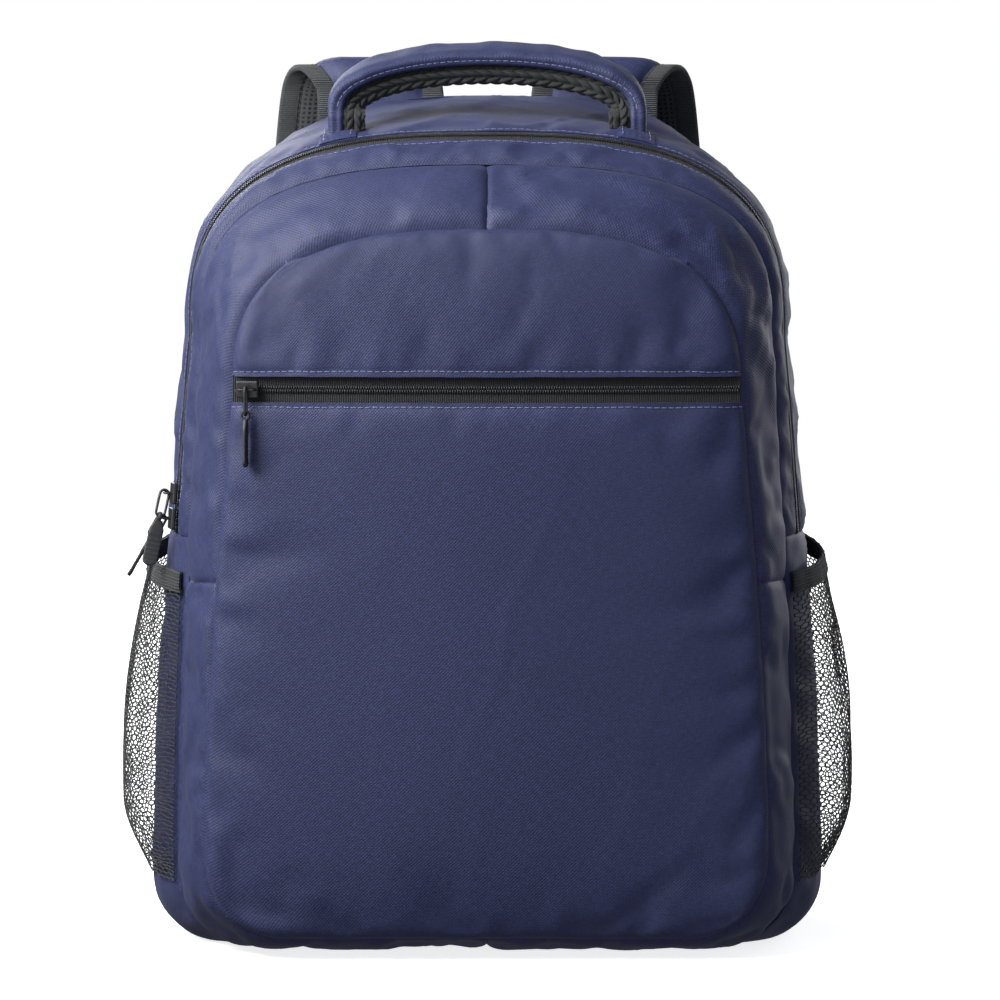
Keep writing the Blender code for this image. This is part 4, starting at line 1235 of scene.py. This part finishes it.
def grab_handle():
    """A padded fabric cover over a chunky plaited underside."""
    line = handle_line(240)
    lean = (0, 1, 0.35)

    def cover_section(share, turns, run):
        half = handle_depth(share) / 2 + 0.0006
        a, b = rounded(turns, half, HANDLE_THICK, 0.62)
        b = np.where(b > 0, b * 1.16, b * 0.92)
        folds = lattice_noise(run / 0.010, a / 0.009, 301) * 0.0007
        folds = folds + lattice_noise(run / 0.028, a / 0.012, 303) * 0.0008
        seam = 0.0007 * np.exp(-((np.abs(np.sin(turns)) / 0.25) ** 2))
        return a * (1 - seam / half), b + HANDLE_APART + folds * np.clip(np.sin(turns), 0, 1)

    def plait_section(share, turns, run):
        a, b = rounded(turns, handle_depth(share) / 2 * 0.93, HANDLE_THICK * 1.10, 0.60)
        across = (turns / math.pi * PLAIT_LANES) % (2 * PLAIT_LANES)
        lane = np.floor(across)
        inside = across - lane
        slant = np.where(lane % 2 == 0, inside, 1 - inside) * 0.9
        knot = np.abs(np.sin(math.pi * (run / PLAIT_PITCH + slant + 0.5 * (lane % 2))))
        lump = 1 + (0.0021 * np.sqrt(np.clip(knot * np.sin(math.pi * inside), 0, 1)) - 0.0006) / np.hypot(a, b)
        return a * lump, b * lump - HANDLE_APART + 0.0009

    cover, ring, _ = swept("handle_cover", line, lean, cover_section, ["navy_fabric"], 36, on_body)
    plait, _, _ = swept("handle_plait", handle_line(520), lean, plait_section, ["plait"], 96, on_body)
    for obj, node in ((cover, "carry_handle"), (plait, "handle_grip")):
        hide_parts(node)
        bend_handle(obj)
    for place, word, way in ((0, "rear", 1.0), (18, "front", -1.0)):
        edge = ring[FOOT_STEPS + 6:-FOOT_STEPS - 6, place]
        normals = np.tile((0.0, way, 0.0), (len(edge), 1))
        row = stitch_row(f"handle_stitches_{word}", edge + normals * 0.00005, normals, "stitch_thread", "navy_fabric")
        bend_handle(row)
    for side, word in SIDES:
        handle_tab(side, word)


def handle_tab(side, word):
    """The fabric tab that holds one end of the handle, sewn down between the zip and the top."""
    u, v = np.linspace(-0.0095, 0.0095, 22), np.linspace(HANDLE_Y - 0.0130, HANDLE_Y + 0.0135, 34)
    gu, gv = np.meshgrid(u, v)
    across = side * (0.0765 + u)
    points = np.array([[(x, y, cloth_height(x, y)) for x in across] for y in v])
    sign = facing(points, (0, 0, 1))
    rim = np.minimum.reduce([gu - u[0], u[-1] - gu, gv - v[0], v[-1] - gv])
    raised = 0.0007 + 0.0007 * (1 - np.exp(-rim / 0.0015)) + puckers(gv, rim, 320 + side, 0.0005, 0.006, 0.004)
    points = points + grid_normals(points) * sign * raised[..., None]
    points, uv = turned_out(points, np.stack([gu, gv], axis=-1), sign)
    tab = sheet_mesh(f"handle_tab_{word}", points, uv, ["navy_fabric"], "navy_fabric", 0.0022)
    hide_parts(f"handle_anchor_{word}")
    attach(tab, "root")
    for name, column in (("outer", 3), ("inner", -4)):
        out = grid_normals(points)[3:-3, column]
        thread = stitch_row(f"handle_tab_stitches_{word}_{name}", points[3:-3, column] + out * 0.0001, out,
                            "stitch_thread", "navy_fabric")
        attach(thread, "root")


# Straps, buckles, webbing and the back

def strap_width(share):
    shoulder = np.minimum(share / 0.25, 1)
    taper = np.maximum((share - 0.55) / 0.45, 0)
    return (STRAP_WIDE - 0.008 * (1 - shoulder)) * (1 - taper) + STRAP_END_WIDE * taper


def mirrored(points, side):
    return np.asarray(points, float) * (side, 1, 1)


def bound_strip(name, path, side, neck=False):
    """A padded strip: navy outside, air mesh inside, and a ribbed binding sewn round its edges.
    neck gives the strip at the strap's top, which thins down to the seam that holds it."""
    count = len(EDGE_STEPS)
    order = [(1, k) for k in range(count)] + [(-1, k) for k in reversed(range(count))]
    kinds = [(way, k, face) for face in (1, -1) for way, k in (order if face > 0 else order[::-1])]

    def section(share, turns, run):
        share, run = share[:, 0], run[:, 0]
        thin = 1 - 0.66 * np.clip((0.85 - share) / 0.35, 0, 1) if neck else 1.0
        share = share * (0.0 if neck else 1.0)
        half = strap_width(share) / 2
        ends = np.minimum(np.minimum(share, 1 - share) / 0.04, 1)
        a, b = np.zeros((2, len(share), len(kinds)))
        for n, (way, k, face) in enumerate(kinds):
            away = np.minimum(EDGE_STEPS[k], half)
            a[:, n] = way * (half - away)
            pad = 1 - np.exp(-np.maximum(away - BINDING, 0) / 0.0042)
            bound = 0.0019 * (1 - np.exp(-away / 0.0005)) - 0.0005 * np.exp(-((away - BINDING) / 0.0010) ** 2)
            swell = (STRAP_THICK / 2 - (0.0012 if face > 0 else 0.0010)) * pad * (0.35 + 0.65 * ends)
            ripple = lattice_noise(run / 0.016, a[:, n] / 0.013, 340 + side) * 0.0006 * pad
            gather = puckers(run, away, 344 + side, 0.0005, 0.008, 0.009) * (away > BINDING)
            b[:, n] = face * (bound + swell) * thin + ripple + face * gather
        return a, b

    looks = ["navy_fabric", "air_mesh", "binding"]
    strip, ring, up = swept(name, path, (1, 0, 0), section, looks, len(kinds))
    marks = []
    for (_, k, face), (_, next_k, next_face) in zip(kinds, kinds[1:] + kinds[:1]):
        edge = max(EDGE_STEPS[k], EDGE_STEPS[next_k]) <= BINDING + 0.0001 or next_face != face
        marks.append(2 if edge else (1 if face > 0 else 0))
    strip.data.polygons.foreach_set("material_index", np.array(marks * (len(path) - 1) + [2, 2], np.int32))
    edges = [(face, way, ring[:, kinds.index((way, 6, face))]) for face in (1, -1) for way in (1, -1)]
    return strip, edges, up


def shoulder_strap(side, word):
    """The strap, the neck that holds its top to the body, and the stitches on its binding."""
    neck, _, _ = bound_strip(f"strap_neck_{word}", smooth_path(mirrored(NECK_POINTS, side), 8), side, True)
    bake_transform(neck)
    strap, edges, up = bound_strip(f"strap_{word}", smooth_path(mirrored(STRAP_POINTS, side), 16), side)
    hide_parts(f"shoulder_strap_{word}")
    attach(strap, f"strap_{word}")
    for face, way, line in edges:
        normals = up[2:-2] * face
        row = stitch_row(f"strap_stitches_{word}_{'in' if face > 0 else 'out'}_{'a' if way > 0 else 'b'}",
                         line[2:-2] + normals * 0.0001, normals, "dark_thread", "webbing")
        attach(row, f"strap_{word}")


def patch(name, centre, wide, high, thick, look, thread, seed, node):
    """A sewn-down reinforcement on the back: a thin pad with round corners, and a boxed cross of stitches."""
    axes = np.array(((-1.0, 0, 0), (0, 0, 1.0), (0, 1.0, 0)))
    u, v = spread(wide, 0.0016), spread(high, 0.0016)
    gu, gv = np.meshgrid(u - wide / 2, v - high / 2)
    a, b = np.abs(gu) / (wide / 2), np.abs(gv) / (high / 2)
    shrink = np.minimum(np.maximum(a, b) / np.maximum((a ** 6 + b ** 6) ** (1 / 6), 1e-6), 1)
    gu, gv = gu * shrink, gv * shrink
    rim = np.minimum(wide / 2 - np.abs(gu), high / 2 - np.abs(gv))
    tall = thick / 2 - 0.0008 * np.exp(-np.maximum(rim, 0) / 0.0012)
    tall += puckers(gu + gv, rim, seed, 0.0004, 0.006, 0.005)
    tall -= 0.00035 * np.exp(-((rim - PATCH_STITCH) / 0.0008) ** 2)
    points = np.array(centre) + np.stack([gu, gv, tall], axis=-1) @ axes
    pad = sheet_mesh(name, points, np.stack([gu, gv], axis=-1), [look], look, thick * 0.9)
    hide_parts(node)
    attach(pad, "root")
    w, h = wide / 2 - PATCH_STITCH, high / 2 - PATCH_STITCH
    corners = np.array([(-w, -h), (w, -h), (w, h), (-w, h), (-w, -h), (w, h), (w, -h), (-w, h)])
    rows = []
    for start, end in zip(corners, corners[1:]):
        flat = start + (end - start) * np.linspace(0.03, 0.97, 30)[:, None]
        line = np.array(centre) + np.column_stack([flat, np.full(30, thick / 2)]) @ axes
        rows.append(along_line(line, np.tile(axes[2], (30, 1)), STITCH_PITCH))
    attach(rods(f"{name}_stitches", *map(np.concatenate, zip(*rows)), STITCH_LONG, STITCH_R, thread, look), "root")


def flat_band(name, path, thick, seed):
    """Webbing swept along a path, slightly cupped and uneven."""

    def section(share, turns, run):
        a, b = rounded(turns, WEBBING_WIDE / 2, thick, 0.30)
        return a, b + 0.0006 * (a / (WEBBING_WIDE / 2)) ** 2 + lattice_noise(run / 0.03, a / 0.02, seed) * 0.0004

    return swept(name, path, (1, 0, 0), section, ["webbing"], 30)[0]


def strap_fittings(side, word):
    """The adjusting webbing, its tab, the loop that holds the buckle, and the strap's sewn root."""
    lock = np.array((side * 0.0985, 0.1150, 0.1330))
    tab = np.array((side * 0.1280, 0.0890, 0.0300))
    top = lock + (0, 0, -0.0190)
    bottom = tab + (-side * 0.004, 0.0035, 0.0235)
    middle = (top + bottom) / 2 + (-side * 0.002, 0.004, 0)
    route = [tab + (0, 0.0026, 0.004), bottom, middle, top, lock + (0, -0.0030, -0.0085), lock + (0, -0.0048, 0.0),
             lock + (0, -0.0015, 0.0062), lock + (0, 0.0040, 0.0010), lock + (0, 0.0052, -0.0120),
             lock + (0, 0.0058, -0.0420)]
    route = smooth_path(route, 10)
    split = int(np.argmax(route[:, 2] > WEBBING_SPLIT_Z))
    webbing = flat_band(f"webbing_{word}", route[:split + 1], 0.0016, 360 + side)
    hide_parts(f"lower_webbing_{word}")
    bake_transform(webbing)
    threaded = flat_band(f"webbing_threaded_{word}", route[split:], 0.0016, 360 + side)
    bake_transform(threaded)
    end = np.array(STRAP_POINTS[-1]) * (side, 1, 1)
    loop = [end + (0, 0.0032, 0.018), end + (0, 0.0036, 0.002), lock + (0, 0.0036, 0.0130), lock + (0, 0.0, 0.0078),
            lock + (0, -0.0036, 0.0130), end + (0, -0.0044, 0.002), end + (0, -0.0050, 0.016)]
    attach(flat_band(f"buckle_loop_{word}", smooth_path(loop, 10), 0.0014, 364 + side), f"strap_{word}")
    patch(f"webbing_tab_{word}", tab + (0, 0.0006, 0), 0.040, 0.034, 0.0030, "webbing", "dark_thread", 370 + side,
          f"webbing_anchor_{word}")
    patch(f"strap_root_{word}", (side * 0.058, 0.0888, 0.4205), 0.062, 0.024, 0.0036, "navy_fabric", "stitch_thread",
          374 + side, f"strap_anchor_{word}")


def back_pad(side, word):
    """A foam pad under air mesh, crowned, with two sewn channels across it."""
    low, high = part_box(f"back_pad_{word}")
    wide, tall, thick = high.x - low.x, high.z - low.z, high.y - low.y
    channels = (tall * 0.34, tall * 0.67)
    floor_y = low.y + 0.0004

    def rim_gap(gu, gv):
        return np.minimum.reduce([gu, wide - gu, gv, tall - gv])

    def surface(a, b):
        gu, gv = np.meshgrid(a, b)
        rise = thick * 0.80 * (1 - np.exp(-np.maximum(rim_gap(gu, gv), 0) / 0.0055))
        for place in channels:
            rise = rise * (1 - 0.72 * np.exp(-((gv - place) / 0.0060) ** 2))
        near = [np.maximum(PAD_CORNER - np.minimum(g, size - g), 0) for g, size in ((gu, wide), (gv, tall))]
        corner = np.clip(1 - np.hypot(*near) / 0.0227, 0, 1)
        pull = (1 - np.minimum(corner / 0.3, 1)) * 0.004
        x = low.x + gu + np.where(gu < wide / 2, pull, -pull)
        z = low.z + gv + np.where(gv < tall / 2, pull, -pull)
        return np.stack([x, floor_y + rise, z], axis=-1)

    def relief(gu, gv, points):
        away = puckers(gu + gv, rim_gap(gu, gv), 380 + side, 0.0009, 0.010, 0.010)
        for place in channels:
            away += puckers(gu, np.abs(gv - place), 384 + side, 0.0009, 0.010, 0.010)
        return away

    pad = skin(f"back_pad_cloth_{word}", surface, spread(wide, 0.0030, (0.0, wide)),
               spread(tall, 0.0030, (0.0, *channels, tall)), relief,
               dict(cell=0.0060, pressure=1.5, grow=0.02, cap=0.0022, seed=390 + side),
               ("air_mesh",), "air_mesh", (0, 1, 0), 0.0012)
    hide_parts(f"back_pad_{word}")
    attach(pad, "root")
    x = np.linspace(low.x + 0.006, high.x - 0.006, 80)
    outward = np.tile((0.0, 1.0, 0.0), (80, 1))
    for number, place in enumerate(channels):
        line = np.stack([x, np.full(80, floor_y + thick * 0.80 * 0.28), np.full(80, low.z + place)], axis=-1)
        row = stitch_row(f"back_pad_stitches_{word}_{number}", line, outward, "dark_thread", "air_mesh")
        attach(row, "root")


# Sliders, loops, pullers and buckles

def joint_at(name):
    found = next(j for j in frame["joints"] if j["name"] == name)
    return np.array(found.get("pos_m") or found["pos"], float)


def vertices(node):
    return np.array([v.co for v in frame["nodes"][node].data.vertices], float)


def keep_node(node, look, bevel=None, smooth=0, swell=0.0):
    """Shows a CAD node as it is, with softened edges and a finished material."""
    obj = frame["nodes"][node]
    if not obj.material_slots:
        obj.data.materials.append(LOOKS[look])
    for entry in obj.material_slots:
        entry.material = LOOKS[look]
    obj.modifiers.new("joined", "WELD").merge_threshold = 0.00002
    if bevel:
        soft = obj.modifiers.new("edges", "BEVEL")
        soft.width = bevel
        soft.segments = 2
        soft.limit_method = "ANGLE"
        soft.angle_limit = math.radians(40)
    if swell:
        fatter = obj.modifiers.new("fatter", "DISPLACE")
        fatter.strength = swell
        fatter.mid_level = 0.0
    if smooth:
        round_off = obj.modifiers.new("round", "SUBSURF")
        round_off.levels = smooth
        round_off.render_levels = smooth
    return obj


def puller(prefix, stand=(0, 0, 0)):
    """A moulded rubber tab with a raised rim, grip ribs and a round eye on its wire loop."""
    body = f"{prefix}_puller"
    pivot = joint_at(f"{prefix}_puller_swing")
    co = vertices(f"{prefix}_puller")
    hang = unit(co.mean(0) - pivot)
    far = co[(co - pivot) @ hang > 0.012]
    centre = far.mean(0)
    spread_out = (far - centre) - np.outer((far - centre) @ hang, hang)
    flat = np.linalg.eigh(spread_out.T @ spread_out)[1][:, -1]
    long = float(((co - pivot) @ hang).max())
    hang = unit(centre - pivot - flat * ((centre - pivot) @ flat))
    path = pivot + hang * np.linspace(0.0021, long, 70)[:, None]
    path = path + np.outer(np.clip(np.linspace(0, 4, 70), 0, 1), stand)

    def section(share, turns, run):
        neck = np.clip(share / 0.22, 0, 1)
        wide = 0.0022 + 0.0016 * (neck * neck * (3 - 2 * neck))
        tip = np.sqrt(np.clip(1 - np.clip((share - 0.86) / 0.14, 0, 1) ** 2, 0.002, 1))
        a, b = rounded(turns, wide * tip, 0.0021, 0.42)
        inside = np.clip((wide * tip - np.abs(a)) / 0.0009, 0, 1)
        field = np.clip((share - 0.30) / 0.03, 0, 1) * np.clip((0.90 - share) / 0.03, 0, 1)
        ribs = 0.00022 * np.clip(np.sin(share * 62.0), 0, 1)
        b = b - np.sign(b) * inside * field * (0.00035 - ribs)
        return a, b * np.clip(tip * 1.6, 0.2, 1)

    tab, _, _ = swept(f"{prefix}_pull_tab", path, flat, section, ["puller_rubber"], 32)
    wires = vertices(f"{prefix}_pull_loop")
    spread_wires = wires - wires.mean(0)
    thin = np.linalg.eigh(spread_wires.T @ spread_wires)[1][:, 0]
    eye_ring(f"{prefix}_pull_eye", pivot, unit(np.cross(thin, hang)), hang, body)
    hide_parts(body)
    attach(tab, body)


def eye_ring(name, centre, axis, hang, body):
    """A small rounded rubber ring about the wire."""
    out = np.cross(axis, hang)
    points, faces = [], []
    big, small = 28, 10
    for i in range(big):
        turn = 2 * math.pi * i / big
        radial = hang * math.cos(turn) + out * math.sin(turn)
        for k in range(small):
            lean = 2 * math.pi * k / small
            points.append(centre + radial * (0.0020 + 0.0006 * math.cos(lean)) + axis * 0.0011 * math.sin(lean))
            a, b = i * small, (i + 1) % big * small
            faces.append((a + k, a + (k + 1) % small, b + (k + 1) % small, b + k))
    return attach(add_mesh(name, points, faces, "puller_rubber"), body)


def hardware():
    for node in ("front_slider", "main_slider_upper", "main_slider_lower"):
        keep_node(node, "slider_metal", bevel=0.0004)
    for node in ("front_pull_loop", "main_upper_pull_loop", "main_lower_pull_loop"):
        keep_node(node, "wire_metal", smooth=2, swell=0.00022)
    for _, word in SIDES:
        keep_node(f"ladder_lock_{word}", "buckle_plastic", bevel=0.0005)
    puller("front", (0, -0.0009, 0))
    puller("main_upper")
    puller("main_lower")


for side, word in SIDES:
    pocket_gusset(side, word)
    net_pocket(side, word)
    pocket_mouth(side, word)
    shoulder_strap(side, word)
    strap_fittings(side, word)
    back_pad(side, word)
front_band_cloth()
main_gusset_cloth()
side_and_base_cloth()
front_panels()
inner_panels()
seam_tapes()
main_zip()
front_zip()
grab_handle()
hardware()


# Camera, light and stage


def place_object(name, data, place, look):
    """Puts a camera or light at a place, facing along look."""
    obj = bpy.data.objects.new(name, data)
    obj.location = place
    obj.rotation_mode = "QUATERNION"
    obj.rotation_quaternion = look.to_track_quat("-Z", "Y")
    bpy.context.scene.collection.objects.link(obj)
    return obj


def set_camera():
    lean = math.radians(CAMERA_RISE)
    back = Vector((0, -math.cos(lean), math.sin(lean)))
    data = bpy.data.cameras.new("camera")
    data.sensor_width = 36.0
    data.lens = CAMERA_LENS
    camera = place_object("camera", data, Vector(CAMERA_TARGET) + back * CAMERA_AWAY, -back)
    bpy.context.scene.camera = camera


def set_stage():
    set_camera()
    for name, place, size, power, aim, tint in LAMPS:
        light = bpy.data.lights.new(name, "AREA")
        light.shape = "RECTANGLE"
        light.size, light.size_y = size
        light.energy = power
        light.color = tint
        place_object(name, light, place, Vector(aim) - Vector(place))

    bpy.context.scene.view_settings.view_transform = "Standard"
    world = bpy.data.worlds.new("studio")
    bpy.context.scene.world = world
    world.use_nodes = True
    nodes = Nodes(world.node_tree)
    sky = world.node_tree.nodes["Background"]
    sky.inputs["Color"].default_value = (1, 1, 1, 1)
    seen = nodes.add("LightPath").outputs["Is Camera Ray"]
    nodes.plug(nodes.plus(nodes.times(seen, 1.0 - AMBIENT), AMBIENT), sky.inputs["Strength"])

    look = Look("floor", 0.7)
    tone = look.ramp(look.noise(look.place, 3.0), ((0.3, (0.90, 0.90, 0.90)), (0.7, (0.93, 0.93, 0.93))))
    look.plug(tone, look.shader.inputs["Base Color"])
    look.plug(tone, look.shader.inputs["Emission Color"])
    look.shader.inputs["Emission Strength"].default_value = FLOOR_GLOW
    floor = add_mesh("floor", [(-3, -3, 0), (3, -3, 0), (3, 3, 0), (-3, 3, 0)], [(0, 1, 2, 3)], "floor")
    floor.visible_diffuse = False
    floor.visible_glossy = False


set_stage()
